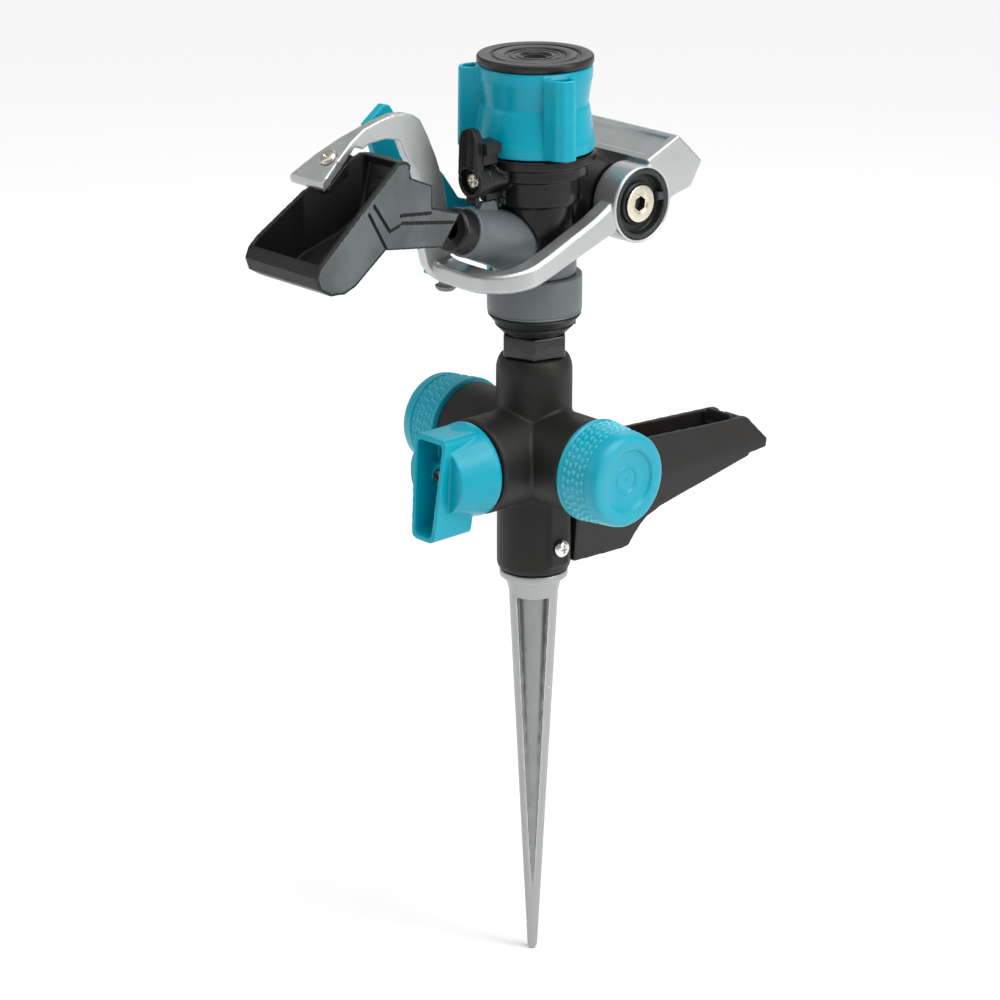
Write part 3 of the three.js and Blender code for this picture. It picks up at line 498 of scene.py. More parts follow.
BODIES = frame["record"]["behaviour"]["bodies"]
BODY_OF = {node: body for body, nodes in BODIES.items() for node in nodes}


def place(obj, node, material, smooth=30):
    """Finishes a piece that stands for one CAD node."""
    obj.name = "look_" + node
    obj.data.name = obj.name
    obj.data.materials.clear()
    obj.data.materials.append(material)
    shaded(obj, smooth)
    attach(obj, BODY_OF[node])
    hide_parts(node)


def second_material(obj, material, test):
    """Gives another material to the faces whose centre (in mm) and normal pass a test."""
    obj.data.materials.append(material)
    for polygon in obj.data.polygons:
        if test(polygon.center / MM, polygon.normal):
            polygon.material_index = 1


def within(point, outline, margin):
    """Whether a 2-D point is inside an outline and at least a margin from its edges."""
    x, y = point
    odd = False
    for (x0, y0), (x1, y1) in zip(outline, outline[1:] + outline[:1]):
        if (y0 > y) != (y1 > y) and x < (x1 - x0) * (y - y0) / (y1 - y0) + x0:
            odd = not odd
        if segment_distance(point, (x0, y0), (x1, y1)) < margin:
            return False
    return odd


def segment_distance(point, a, b):
    p, a, b = Vector(point), Vector(a), Vector(b)
    along = b - a
    t = max(0.0, min(1.0, (p - a).dot(along) / max(along.length_squared, 1e-9)))
    return (p - a - along * t).length


# ---------------------------------------------------------------- spike and base
def ground_spike():
    tip, shoulder = (2.15, -168.5), (10.3, -6.5)
    outline = [(0, -171.5), (1.1, -171.5), (1.8, -170.8), tip, shoulder, (11.1, -3.2), (12.2, -0.8)]
    outline += [(12.5, 0), (14.0, 0), (14.2, 0.3), (14.2, 2.8), (13.9, 3.1), (9.4, 3.1)]
    outline += [(9.4, 28.5), (0, 28.5)]
    panels = []
    for side in (1, -1):
        points = []
        for half, near, far, z in ((6.6, 4.6, 15, -8), (0.2, 2.9, 8, -147)):
            points += [(sx * half, side * d, z) for sx in (-1, 1) for d in (near, far)]
        panels.append(moved(hull(points), turn(45, "Z")))
    body = cut(lathe(outline, segments=72), *panels)
    core = lathe([(0, -147), (2.6, -147), (7.4, -6), (0, -6)], segments=72)
    body = moulded(join(body, core), 0.42, 3)
    for lateral, z, radius in ((-4.3, -10, 7.4), (-3.2, -61, 5.7)):
        mark = ring(1.35, 1.75, radius - 0.35, radius + 3, "-y", segments=32)
        body = cut(body, moved(mark, turn(MARK_TURN, "Z") @ shift(lateral, 0, z)))
    place(body, "ground_spike", SPIKE_SILVER, 60)

    def in_panel(centre, _normal):
        share = (centre.z - tip[1]) / (shoulder[1] - tip[1])
        surface = tip[0] + share * (shoulder[0] - tip[0])
        return -150 < centre.z < -7.6 and surface - math.hypot(centre.x, centre.y) > 0.55

    # The faces sunk into the recessed panels take the darker material: painted shade.
    second_material(body, SPIKE_PANEL_SHADE, in_panel)


def base_body():
    lower = lathe([(0, 3.5), (13.6, 3.5), (14.8, 4.2), (LOWER_TUBE_R, 6), (LOWER_TUBE_R, 50), (0, 50)])
    riser = lathe([(0, 50), (15.6, 50), (15.6, 90.6), (14.9, 93.2), (13.7, 95.5), (0, 95.5)])
    end = [(BARREL_R, BARREL_END - 1.2), (19.2, BARREL_END), (0, BARREL_END)]
    left_end = [(r, -h - LEFT_EXTRA) for r, h in reversed(end)]
    crossing = (0, 0, CROSS_Z)
    ports = lathe(left_end + end, "x", crossing)
    boss = lathe([(0, 0), (BARREL_R, 0)] + end, "-y", crossing)
    right_nipple = bar(13.2, 20, 49.9, "x", crossing)
    left_nipple = bar(13.2, 20, 49.9, "-x", (-LEFT_EXTRA, 0, CROSS_Z))
    pad_outline = [(0, -5.6), (14.9, -5.6), (15.9, -4.9), (15.9, 4.9), (14.9, 5.6), (0, 5.6)]
    pad = prism(pad_outline, 7.5, 36, "z")
    tongue = box(-5.5, 5.5, 10, 33, 9, 36)
    body = join(lower, riser, ports, boss, right_nipple, left_nipple, pad, tongue)
    body = cut(
        body,
        bar(9.7, 0, 29.1),
        bar(2.3, 5, 20, "x", (0, 0, SCREW_Z), 32),
        bar(9, -70, 60, "x", crossing),
        bar(10.4, CROSS_Z, 100),
        bar(12, -14, 40, "-y", crossing),
        bar(16, 28, 40, "-y", crossing),
    )
    place(moulded(body, 0.66, 5), "base_body", BASE_BLACK, SMOOTH)


def foot_pedal():
    side = [(13.5, 4.6), (41.9, 3.3), (45.4, 3.9), (51.3, 11.3), (55.4, 14.3), (63.1, 17.3), (115, 27.6)]
    side += [(116.5, 29), (126.4, 29.5), (127.2, 33.4), (116, 45), (60, 48.6), (40, 50)]
    side += [(33, 50), (33, 37), (13.5, 35.5)]
    flare = [(9.8, 0), (12.2, 30), (12.2, 33), (9.4, 52)]
    section = flare + [(-x, z) for x, z in reversed(flare)]
    outer = common(prism(side, -14, 14, "x"), prism(section, 10, 140, "y"))
    hollow = [(36, 12.5), (47, 13.6), (54, 17.4), (62, 20.3), (108, 29.8), (108, 60), (36, 60)]
    inner = [(-7.6, 8), (7.6, 8), (9.9, 31), (7.3, 55), (-7.3, 55), (-9.9, 31)]
    trough = common(prism(hollow, -14, 14, "x"), prism(inner, 10, 140, "y"))
    tread = prism([(107, 41), (128, 34.6), (128, 60), (107, 60)], -7, 7, "x")
    body = cut(outer, trough, tread)
    ribs = []
    for i in range(3):
        y, z = 108.4 + i * 5.6, 41 - i * 1.7
        top = z + 5.8 - i * 0.5
        ribs.append(prism([(y, z - 2), (y + 2.6, z - 2), (y + 1.6, top), (y + 0.6, top)], -7.2, 7.2, "x"))
    body = cut(
        join(body, *ribs),
        bar(LOWER_TUBE_R + RUNNING_GAP, 0, 60),
        box(-5.9, 5.9, 5, 33.4, 8.6, 36.4),
        bar(BARREL_R + RUNNING_GAP, -36, 36, "x", (0, 0, CROSS_Z)),
    )
    place(moulded(body, 0.48, 3), "foot_pedal", PEDAL_BLACK, SMOOTH)


# ---------------------------------------------------------------- ports and valve
def cap_radius(h):
    """Outside radius of a port cap at a distance from the crossing."""
    return 21.1 + (h - 37.4) / (53.2 - 37.4) * (19.4 - 21.1)


def port_cap(node, axis, centre_x):
    """A hollow cap with rings on its end and rows of small raised triangles round its side."""
    root_low, root_high = (cap_radius(h) - KNURL_RELIEF for h in (37.2, 49.4))
    profile = [(0, 51.2), (13.6, 51.2), (13.6, 34.9), (20.2, 34.9), (20.75, 35.1), (21.1, 35.6)]
    profile += [(21.1, 36.6), (root_low, 37.2), (root_high, 49.4), (cap_radius(50), 50)]
    profile += [(19.4, 53.0), (19.1, 54.2), (18.5, 55.1), (17.6, 55.6), (16.8, 55.7), (13.3, 55.7)]
    profile += [(12.9, 55.55), (12.5, 55.1), (12.1, 54.6), (11.4, 54.35), (8, 54.0), (6.05, 53.9)]
    profile += [(5.75, 54.1), (5.35, 54.1), (5.05, 53.85), (4.7, 53.6), (1.3, 53.5), (1.05, 53.65)]
    profile += [(0.7, 53.65), (0.5, 53.4), (0, 53.3)]
    shell = lathe(profile, segments=144)
    bm = bmesh.new()
    bm.from_mesh(shell.data)

    def corners(middle, centre, points, lift):
        """Vertices at (along, across) millimetres from a triangle's middle, above the root."""
        made = []
        for along, across in points:
            h = middle + along
            r = cap_radius(h) - KNURL_RELIEF + lift
            angle = centre + across / cap_radius(middle)
            made.append(bm.verts.new((r * MM * math.cos(angle), r * MM * math.sin(angle), h * MM)))
        return made

    pitch = (KNURL_HIGH - KNURL_LOW) / KNURL_ROWS
    for row in range(KNURL_ROWS):
        middle = KNURL_LOW + pitch * (row + 0.5)
        for column in range(KNURL_COLUMNS):
            centre = 2 * math.pi * (column + 0.25 * (row % 2)) / KNURL_COLUMNS
            root = corners(middle, centre, [(-1.02, -1.2), (1.02, -1.2), (0, 1.45)], -0.05)
            crown = corners(middle, centre, [(-0.32, -0.6), (0.32, -0.6), (0, 0.2)], KNURL_RELIEF)
            bm.faces.new(crown)
            for i in range(3):
                j = (i + 1) % 3
                bm.faces.new((root[i], root[j], crown[j], crown[i]))
    bmesh.ops.recalc_face_normals(bm, faces=bm.faces)
    bm.to_mesh(shell.data)
    bm.free()
    moved(shell, shift(centre_x, 0, CROSS_Z) @ AXIS_TURN[axis])
    place(shell, node, TEAL_CAPS, 24)


def valve_handle():
    at = (0, 0, CROSS_Z)
    hub = lathe([(0, 35.2), (18.8, 35.2), (19.5, 36), (19.4, 37.6), (15.4, 54), (0, 54)], "-y", at)
    grip = prism(rounded([(-9.5, 72.2), (9.5, 72.2), (6.7, 29.4), (-6.7, 29.4)], 3.4), -62, -38, "y")
    front = prism([(-55, 76), (-57.4, 68.6), (-61.4, 30.4), (-61.4, 20), (-80, 20), (-80, 76)], -12, 12, "x")
    back = prism([(-38, 76), (-38, 72.2), (-41, 29.4), (-41, 20), (-30, 20), (-30, 76)], -12, 12, "x")
    grip = cut(grip, front, back, bar(18.1, 30, 44.6, "-y", at))
    pocket = prism(rounded([(-7.5, 70.2), (7.5, 70.2), (4.8, 31.4), (-4.8, 31.4)], 2.6), -70, -45.4, "y")
    pocket = cut(pocket, bar(30, 30, 46.4, "-y", at))
    shell = cut(join(hub, grip), pocket, ring(8.2, 16.6, 34, 42.7, "-y", at))
    dome = lathe([(0, 44), (7.6, 44), (7.2, 48.2), (5.9, 50), (5.2, 51), (0, 51)], "-y", at)
    shell = join(shell, dome)
    square = box(-3.7, 3.7, -44.3, -30, CROSS_Z - 3.7, CROSS_Z + 3.7)
    shell = cut(shell, square, bar(5.3, 30, 37.3, "-y", at))
    shell = cut(shell, bar(2.1, 40, 60, "-y", at, 32))
    place(moulded(shell, 0.36, 5), "valve_handle", TEAL_HANDLE, SMOOTH)


# ---------------------------------------------------------------- swivel
def bearing_sleeve():
    foot = ring(6.2, 10.1, 77.4, 96.2)
    nut = edged(prism(hexagon(HEX_R, HEX_TURN), 95.9, 105, "z"), 0.7, 28, 4)
    nut = cut(nut, bar(6.2, 90, 110))
    x, y = hexagon(HEX_R - 0.1, HEX_TURN)[0]
    nick = moved(box(-0.3, 0.3, -0.8, 0.8, 99.4, 102.4), shift(x, y, 0) @ turn(HEX_TURN, "Z"))
    nut = cut(nut, nick)
    tube = [(6.2, 104), (8.4, 104), (8.4, 118.9), (11.2, 118.9), (11.2, 121.3), (6.2, 121.3), (6.2, 104)]
    place(merged(nut, foot, lathe(tube)), "bearing_sleeve", SLEEVE_BLACK)


def stop_ring(node, z0, r0, z1, r1, degrees):
    """A ring between two heights and radii, with a tab on one side."""
    step = 0.3
    profile = [(8.8, z0), (r0 - step, z0), (r0, z0 + step), (r1, z1 - 0.5), (r1 - step, z1)]
    profile += [(8.8, z1), (8.8, z0)]
    band = lathe(profile, segments=128)
    corners = [(r0 - 3, 1.6, z0), (22, 1.3, 103.6), (22, 1.3, 108.6)]
    corners += [(r1 - 3, 1.6, z1), (r0 - 3, 1.6, z1)]
    tab = hull([(x, s * y, z) for x, y, z in corners for s in (-1, 1)])
    tab = edged(cut(tab, bar(max(14.8, r0 + 1.2), 90, z0)), 0.3)
    place(merged(band, moved(tab, turn(degrees, "Z"))), node, RING_BLACK)


def collar_nut():
    profile = [(8.8, 114.4), (17.6, 113.8), (18.6, 113.8), (19.0, 114.0), (19.1, 114.4), (18.9, 114.7)]
    profile += [(18.9, 115.0), (19.25, 115.3), (19.25, 128.7), (19.1, 129.4), (18.5, 129.8)]
    profile += [(14.3, 129.8), (14.3, 116.8), (8.8, 116.8), (8.8, 114.4)]
    place(lathe(profile, segments=160), "collar_nut", GREY)


def jet(obj):
    """Tips a piece made along -Y up to the jet's axis."""
    return moved(obj, shift(0, 0, ELBOW_Z) @ Matrix.Rotation(-JET_RISE, 4, "X"))


def water_elbow():
    neck = [(0, 123.8), (14, 123.8), (14, 130.1), (16.9, 130.1), (16.9, 140.4), (13.8, 140.4)]
    neck += [(13.8, 156.4), (0, 156.4)]
    outlet = jet(lathe([(0, 0), (12.4, 0), (11.8, 20), (10, 36), (10, 40.6), (0, 40.6)], "-y"))
    lug = [(-31, 150), (-31, 162.4), (-29.6, 163.8), (-23.4, 163.8), (-22, 162.4), (-20, 150)]
    body = join(lathe(neck), outlet, prism(lug, -1.8, 1.8, "x"))
    body = cut(body, bar(7, 120, ELBOW_Z + 3), jet(bar(7, 0, 50, "-y")), jet(bar(8.3, 31, 50, "-y")))
    place(moulded(body, 0.34, 7), "water_elbow", GREY, SMOOTH)


def head_housing():
    shell = [(0, 141), (16.7, 141), (16.2, 159.8), (18.3, 160.6), (18.6, 170.6), (21.4, 171.2), (21.4, 175.8)]
    shell += [(24.2, 176.6), (24.2, 180.4), (0, 180.4)]
    bracket = [(8, 150), (26, 146.8), (36, 147.4), (37, 167.6), (18, 178.4), (8, 178.4)]
    pivot = (0, *PIVOT)
    trip = (0, *TRIP)
    lever = (0, 0, DEFLECTOR_Z)
    body = join(
        lathe(shell),
        prism(bracket, -9.5, 15.5, "x"),
        bar(10.8, -9.8, 15.7, "x", pivot),
        bar(6, 14, 29.4, "-y", lever),
        prism([(-28, 163.2), (-15, 163.2), (-15, 171), (-28, 171)], -2, 2, "x"),
        bar(5, 12, 23.6, "-x", trip),
        bar(3.2, 23, 28.4, "-x", trip),
    )
    body = cut(
        body,
        ring(8.6, 17, 161.5, 190),
        bar(14.1, 130, 156.7),
        jet(bar(12.8, 0, 60, "-y")),
        box(-2.3, 2.3, -35, -18, 145, 163.9),
        bar(2.1, 18, 40, "-y", lever, 32),
        bar(2, 15, 40, "-x", trip, 32),
        bar(5.1, -20, 30, "x", pivot),
    )
    body = join(body, lathe([(0, 161), (8, 161), (6, 176), (6, 211.4), (0, 211.4)]))
    place(moulded(body, 0.45, 2), "head_housing", HOUSING_BLACK, SMOOTH)


def nozzle():
    profile = [(5.6, 31.6), (7.9, 31.6), (7.9, 40.9), (8.9, 40.9), (9.2, 41.2), (9.2, 46.6), (8.9, 47.4)]
    profile += [(8.3, 48), (4.4, 48), (3.6, 47.4), (3.2, 46.8), (3.2, 46), (5.6, 38), (5.6, 31.6)]
    place(jet(lathe(profile, "-y")), "nozzle", NOZZLE_BLACK)


# ---------------------------------------------------------------- dial and deflector
def range_dial():
    z0, z1 = 181, 215.2
    outer = [(0, z0), (23.5, z0), (24, z0 + 0.6), (24, z0 + 4.6), (23.7, z0 + 5.1), (21.75, 198.8)]
    outer += [(21.3, 199.3), (21.15, 199.6), (22.55, 209.2), (22.9, 209.6), (22.9, z1 - 0.5)]
    outer += [(22.6, z1), (0, z1)]
    wing_foot = [(23, -7.4), (28.6, -4.4), (30.6, -1.6), (30.8, 2.4), (29.6, 4.2), (22.8, 5), (18, 0)]
    wing_top = [(22.6, -7.2), (28.2, -4.4), (30.2, -1.6), (30.4, 2.2), (29.2, 4), (21, 5), (18, 0)]
    corners = [(x, y, z0 + 0.6) for x, y in wing_foot] + [(x, y, z1 - 1.4) for x, y in wing_top]
    opening = [(23.9, -4.9), (27.4, -3.3), (28.9, -1), (28.9, 1.6), (28.1, 2.6), (24.1, 3.2)]
    wings = [moved(hull(corners), turn(angle, "Z")) for angle in WING_ANGLES]
    pockets = [moved(prism(opening, z0 + 3, z1 + 2, "z"), turn(angle, "Z")) for angle in WING_ANGLES]
    body = join(lathe(outer, segments=128), *wings)
    cavity = [(5, z0 - 1), (22.2, z0 - 1), (22.2, z0 + 4.6), (19.8, 199.4), (20.9, 210), (20.9, 212.2)]
    cavity += [(9, 212.2), (9, 184.5), (5, 184.5), (5, z0 - 1)]
    body = cut(body, lathe(cavity), bar(6.3, z0 - 2, 211.8), bar(4.4, 200, 220), *pockets)
    place(moulded(body, 0.5, 5), "range_dial", TEAL_DIAL, SMOOTH)


def dial_disc():
    profile = [(4.6, 215.6), (22.6, 215.6), (23.1, 215.8), (23.3, 216.2), (23.3, 218), (23.1, 218.5)]
    profile += [(22.6, 218.9), (18.4, 218.9), (18, 218.75), (17.7, 218.3), (17.3, 218.2), (16.9, 218.3)]
    profile += [(16.6, 218.65), (12.6, 218.7), (12.2, 218.5), (11.9, 218.1), (11.4, 218), (10.6, 218)]
    profile += [(10.2, 218.3), (9.5, 218.3), (9.1, 218), (7.7, 218), (7.4, 218.3), (6.7, 218.3)]
    profile += [(6.2, 217.9), (5.5, 217.4), (4.6, 217.4), (4.6, 215.6)]
    place(lathe(profile, segments=192), "dial_disc", DISC_BLACK)


def deflector_lever():
    at = (0, 0, DEFLECTOR_Z)
    cup = bar(6.8, 29.8, 35.2, "-y", at)
    side = [(5.6, 175), (5, 189.4), (4.4, 191.4), (3.3, 193), (1.6, 194.1)]
    finger = prism(side + [(-x, z) for x, z in reversed(side)], -36.4, -32.6, "y")
    finger = cut(finger, bar(5.2, 178.6, 205, "z", (0, -40.4, 0)))
    face = [(1, 180.2), (6.2, 180.2), (6.2, 184), (8.4, 184.6), (8.4, 188.8), (1, 189.6)]
    follower = prism(face, -33.4, -25.6, "y")
    tab = prism([(-2.7, 163.2), (2.7, 163.2), (2.7, 169), (-2.7, 169)], -34.6, -32.2, "y")
    body = join(cup, finger, follower, tab)
    body = cut(body, bar(5.2, 32.2, 45, "-y", at), bar(2.1, 20, 40, "-y", at, 32))
    place(moulded(body, 0.24, 4), "deflector_lever", LEVER_BLACK, SMOOTH)


# ---------------------------------------------------------------- arm
def saddle_point(s, off):
    """(y, z) at a distance up the mouth's slope from the lip and a distance off it."""
    y, z = math.cos(MOUTH_ANGLE), math.sin(MOUTH_ANGLE)
    return (MOUTH_LIP[0] + s * y - off * z, MOUTH_LIP[1] + s * z + off * y)


def on_saddle(obj, off):
    """Stands a piece made along +Z on the slope, at the saddle's screw."""
    y, z = saddle_point(SADDLE_SCREW[1], off)
    return moved(obj, shift(SADDLE_SCREW[0], y, z) @ Matrix.Rotation(MOUTH_ANGLE, 4, "X"))


def arm_ribbon():
    """The bar from the pivot ring round the front, as a spline through rows.

    Each row is a centre and the vectors to its side and to its top.
    """
    rows = [
        [(23.4, 21, 155.6), (4.2, 0, 0), (0, 0, 7.4)],
        [(23.6, 8, 150), (4.2, 0, 0), (0, 0, 5.6)],
        [(23.8, -7, 144.4), (4.2, 0, 0), (0, 0, 5.1)],
        [(23.6, -19, 139.8), (4.4, -0.2, 0), (0, 0, 4.8)],
        [(22.2, -26.2, 137), (4.7, -1.6, 0), (0, 0, 4.5)],
        [(18.4, -31.8, 135.4), (3.6, -3.6, 0), (0, 0, 4.1)],
        [(12.4, -34.8, 134.4), (1.4, -5, 0), (0, 0, 3.8)],
        [(5, -35.4, 133.9), (0, -5.2, -0.4), (0, 0, 3.7)],
        [(-7, -35.4, 134), (0, -5.2, -0.4), (0, 0, 3.7)],
        [(-12.4, -35.6, 134.4), (0, -5.4, -0.3), (0, 0, 3.8)],
        [(-16.6, -35.8, 135.6), (0, -5.4, -0.2), (0, 0, 4.2)],
    ]
    corners = [(1, 0.72), (0.76, 1), (-0.76, 1), (-1, 0.72)]
    corners += [(-u, -v) for u, v in corners]
    steps = 5
    sections = []
    for k in range(len(rows) - 1):
        around = [rows[max(k - 1, 0)], rows[k], rows[k + 1], rows[min(k + 2, len(rows) - 1)]]
        last = k == len(rows) - 2
        for step in range(steps + last):
            t = step / steps
            weights = (
                (-t + 2 * t**2 - t**3) / 2,
                (2 - 5 * t**2 + 3 * t**3) / 2,
                (t + 4 * t**2 - 3 * t**3) / 2,
                (-(t**2) + t**3) / 2,
            )
            centre, side, top = (
                [sum(w * row[part][i] for w, row in zip(weights, around)) for i in range(3)]
                for part in range(3)
            )
            sections.append([
                tuple(centre[i] + u * side[i] + v * top[i] for i in range(3)) for u, v in corners
            ])
    return skin(sections)


def arm_hook():
    outer = [(-31, 131.6), (-32.4, 141.6), (-34.5, 162.5), (-36.3, 171.6), (-39.9, 181.4), (-44, 190.2)]
    outer += [(-48, 197.4), (-51.7, 200), (-55.4, 201.1), (-62, 201.6), (-69.4, 200.3), (-76.7, 198.4)]
    outer += [(-83.3, 194.4), (-91.3, 188), (-98.4, 181.4), (-98.9, 177.4)]
    inner = [(-88, 186.9), (-82, 192), (-77.6, 190.4), (-73.9, 192), (-65.8, 192.5), (-58.5, 190.9)]
    inner += [(-57.1, 187.8), (-55.3, 183.5), (-52.7, 179.6), (-50.5, 176.9), (-48.4, 170.8), (-47.4, 158)]
    inner += [(-47.4, 146), (-45, 137.4), (-40.6, 132)]
    return prism(outer + inner, -18.6, -14.3, "x")


def arm_saddle():
    def row(s, left, right, top):
        """A cross-section of the plate at a distance up the slope."""
        low, high = saddle_point(s, 0.3), saddle_point(s, top)
        return [(left, *low), (right, *low), (left + 0.6, *high), (right, *high)]

    tip = row(31.6, -32.8, -12.6, 2.2) + row(33, -32.8, -12.6, 3.8)
    middle = row(44, -27.8, -13.2, 4)
    heel = row(54, -23, -14.3, 3.3)
    shoulder = [(x, y, z) for x in (-18.6, -14.3) for y, z in ((-71, 193), (-70, 200.2))]
    return [hull(tip + middle), hull(middle + heel), hull(heel + shoulder)]


def swing_arm():
    at = (0, *PIVOT)
    rim = lathe([(0, 16.2), (15.5, 16.2), (15.9, 16.8), (15.9, 28.2), (15.5, 29), (0, 29)], "x", at, 128)
    weight = [(34.7, 175.1), (52.3, 182.4), (65.8, 169.8), (59.6, 160), (48.1, 157.5)]
    block = prism(weight, -26, 29, "x")
    web = prism([(31, 168), (38, 175), (50, 158.4), (42, 149)], 17, 28.4, "x")
    brim = [(x, y, z) for x in (-23.4, 25.6) for y, z in ((37.8, 178.4), (50, 183.4))]
    floor_of_recess = [(x, y, z) for x in (-22.6, 24.8) for y, z in ((38.4, 175), (50.2, 179.9))]
    recess = hull(brim + floor_of_recess)
    body = join(rim, block, web, arm_ribbon(), arm_hook(), *arm_saddle())
    body = cut(body, bar(14.6, 17.8, 40, "x", at, 96), bar(6.6, 0, 40, "x", at), recess)
    screw_hole = on_saddle(join(bar(2, -5, 12, segments=32), bar(3.9, 3.6, 12)), 0)
    bumper_hole = bar(3.2, 128.4, 131.8, at=BUMPER_PLACE)
    body = moulded(cut(body, screw_hole, bumper_hole), 0.44, 3)
    teeth = []
    for i in range(TOOTH_COUNT):
        angle = math.radians(TOOTH_FIRST + i * TOOTH_PITCH)
        tooth = prism([(14.9, -0.35), (15.75, 0), (14.9, 0.35)], 28.2, 29, "x")
        teeth.append(moved(tooth, shift(0, *PIVOT) @ Matrix.Rotation(angle, 4, "X")))
    place(merged(body, *teeth), "swing_arm", ARM_SILVER, 50)


def pivot_cover():
    profile = [(5.25, 18.2), (7.6, 18.2), (7.6, 23.2), (14.3, 23.2), (14.3, 28.3), (14.0, 28.6)]
    profile += [(12.7, 28.6), (12.3, 28.3), (11.9, 25.6), (11.5, 25.2), (9.1, 25.2), (8.9, 25.4)]
    profile += [(8.9, 26.2), (8.6, 26.6), (8.1, 27), (5.25, 24.1), (5.25, 18.2)]
    cover = lathe(profile, "x", (0, *PIVOT), 128)
    outline = [(9.2, -0.2), (9.2, 3), (12.8, 3), (12.8, -0.2)]
    key = edged(prism([(PIVOT[0] + a, PIVOT[1] + b) for a, b in outline], 25, 28.4, "x"), 0.4)
    place(merged(cover, key), "pivot_cover", COVER_BLACK)


def pivot_bolt():
    profile = [(0, -8), (4.2, -8), (4.9, -7), (4.9, 24.3), (7.5, 27.0), (7.6, 27.2), (7.5, 27.7), (7.2, 27.8)]
    profile += [(4.2, 27.8), (3.6, 27.3), (0, 27.3)]
    bolt = lathe(profile, "x", (0, *PIVOT), 96)
    socket = prism([(PIVOT[0] + a, PIVOT[1] + b) for a, b in hexagon(3.2, 22)], 24.2, 30, "x")
    bolt = edged(cut(bolt, socket), 0.12, 40, 2)
    place(bolt, "pivot_bolt", BOLT_STEEL)

    def in_socket(centre, _normal):
        return 24 < centre.x < 27.1 and math.hypot(centre.y - PIVOT[0], centre.z - PIVOT[1]) < 3.3

    # The faces inside the hex socket take the dark steel: painted shade.
    second_material(bolt, DARK_STEEL_AND_SHADE, in_socket)


def arm_bumper():
    button = [(0, 126), (2.6, 126), (3.2, 126.2), (4.2, 127.2), (4.4, 128.1), (2.9, 128.1)]
    button += [(2.9, 131.4), (0, 131.4)]
    place(lathe(button, at=BUMPER_PLACE, segments=64), "arm_bumper", BUMPER)


# ---------------------------------------------------------------- spoon
def spoon():
    x0, x1, wall = -30.6, 12, 1.8
    scoop = [(-122.5, 157), (-124.3, 153), (-122.6, 148), (-117, 144.7), (-110, 144.2), (-104.6, 146.2)]
    scoop += [(-88, 158.5), (-81.4, 166), (-76.2, 188.6), (-78, 190.4), saddle_point(52.6, 0)]
    throat = [(-90, 157.6), (-86.4, 157), (-60, 153.2), (-50.6, 165.4), (-65, 170), (-65, 178.8)]
    throat += [(-76.6, 184), (-76.2, 188.6), (-82, 185)]
    cavity = [(-121.2, 157.2), (-121.4, 152.8), (-117, 147.2), (-110, 146.3), (-105.6, 148.1)]
    cavity += [(-89.8, 159.8), (-84, 166.6), (-79.4, 187), (-90, 200), (-135, 165)]
    plan = [(x0, -126), (x1, -126), (x1, -74), (-9.6, -74), (-10.6, -81.6), (-24.9, -100), (x0, -118)]
    room = [(x0 + wall, -126), (x1 - wall, -126), (x1 - wall, -74), (-7.8, -74), (-8.8, -82.4)]
    room += [(-23.2, -100.8), (x0 + wall, -118.4)]
    outer = common(prism(scoop, x0, x1, "x"), prism(plan, 130, 210, "z"))
    outer = join(outer, prism(throat, -9.8, 11.6, "x"))
    inside = common(prism(cavity, x0 + wall, x1 - wall, "x"), prism(room, 130, 210, "z"))
    roof = [saddle_point(s, off) for s, off in ((33, 0), (52, 0), (52, -3), (33, -3))]
    roof_plan = [(-31, -97.6), (-12.6, -97.6), (-12.6, -84), (-24, -84)]
    roof = common(prism(roof, -27.6, -12.6, "x"), prism(roof_plan, 170, 200, "z"))
    channel = [(-95, 163), (-60.6, 155.4), (-40, 150), (-40, 174), (-67.6, 177), (-79, 182.6), (-95, 178)]
    body = join(cut(outer, inside), roof, on_saddle(bar(3.4, -9, -1), 0))
    body = cut(body, prism(channel, -7.9, 9.6, "x"), on_saddle(bar(1.8, -12, 5, segments=32), 0))
    grooves = [
        ((-97.6, 173.2), (-89.2, 158.2)),
        ((-95, 176.1), (-87.3, 164.6)),
        ((-87.3, 164.6), (-80.3, 166.6)),
        ((-80.3, 166.6), (-54.5, 162.3)),
        ((-81.5, 169.8), (-66, 168)),
    ]
    for a, b in grooves:
        start, end = Vector(a), Vector(b)
        along = (end - start).normalized() * 0.45
        side = Vector((-along.y, along.x)) * 1.1
        line = [start - along - side, end + along - side, end + along + side, start - along + side]
        body = cut(body, prism([tuple(p) for p in line], 10.9, 13, "x"))
    body = moulded(body, 0.41, 2)
    place(body, "spoon", SPOON_BLACK, SMOOTH)

    def in_side_panel(centre, normal):
        point = (centre.y, centre.z)
        if normal.x < 0.8 or centre.x < 11.3:
            return False
        if any(segment_distance(point, a, b) < 0.75 for a, b in grooves):
            return False
        return within(point, scoop, 1.1) or within(point, throat, 0.7)

    second_material(body, SPOON_PANEL, in_side_panel)


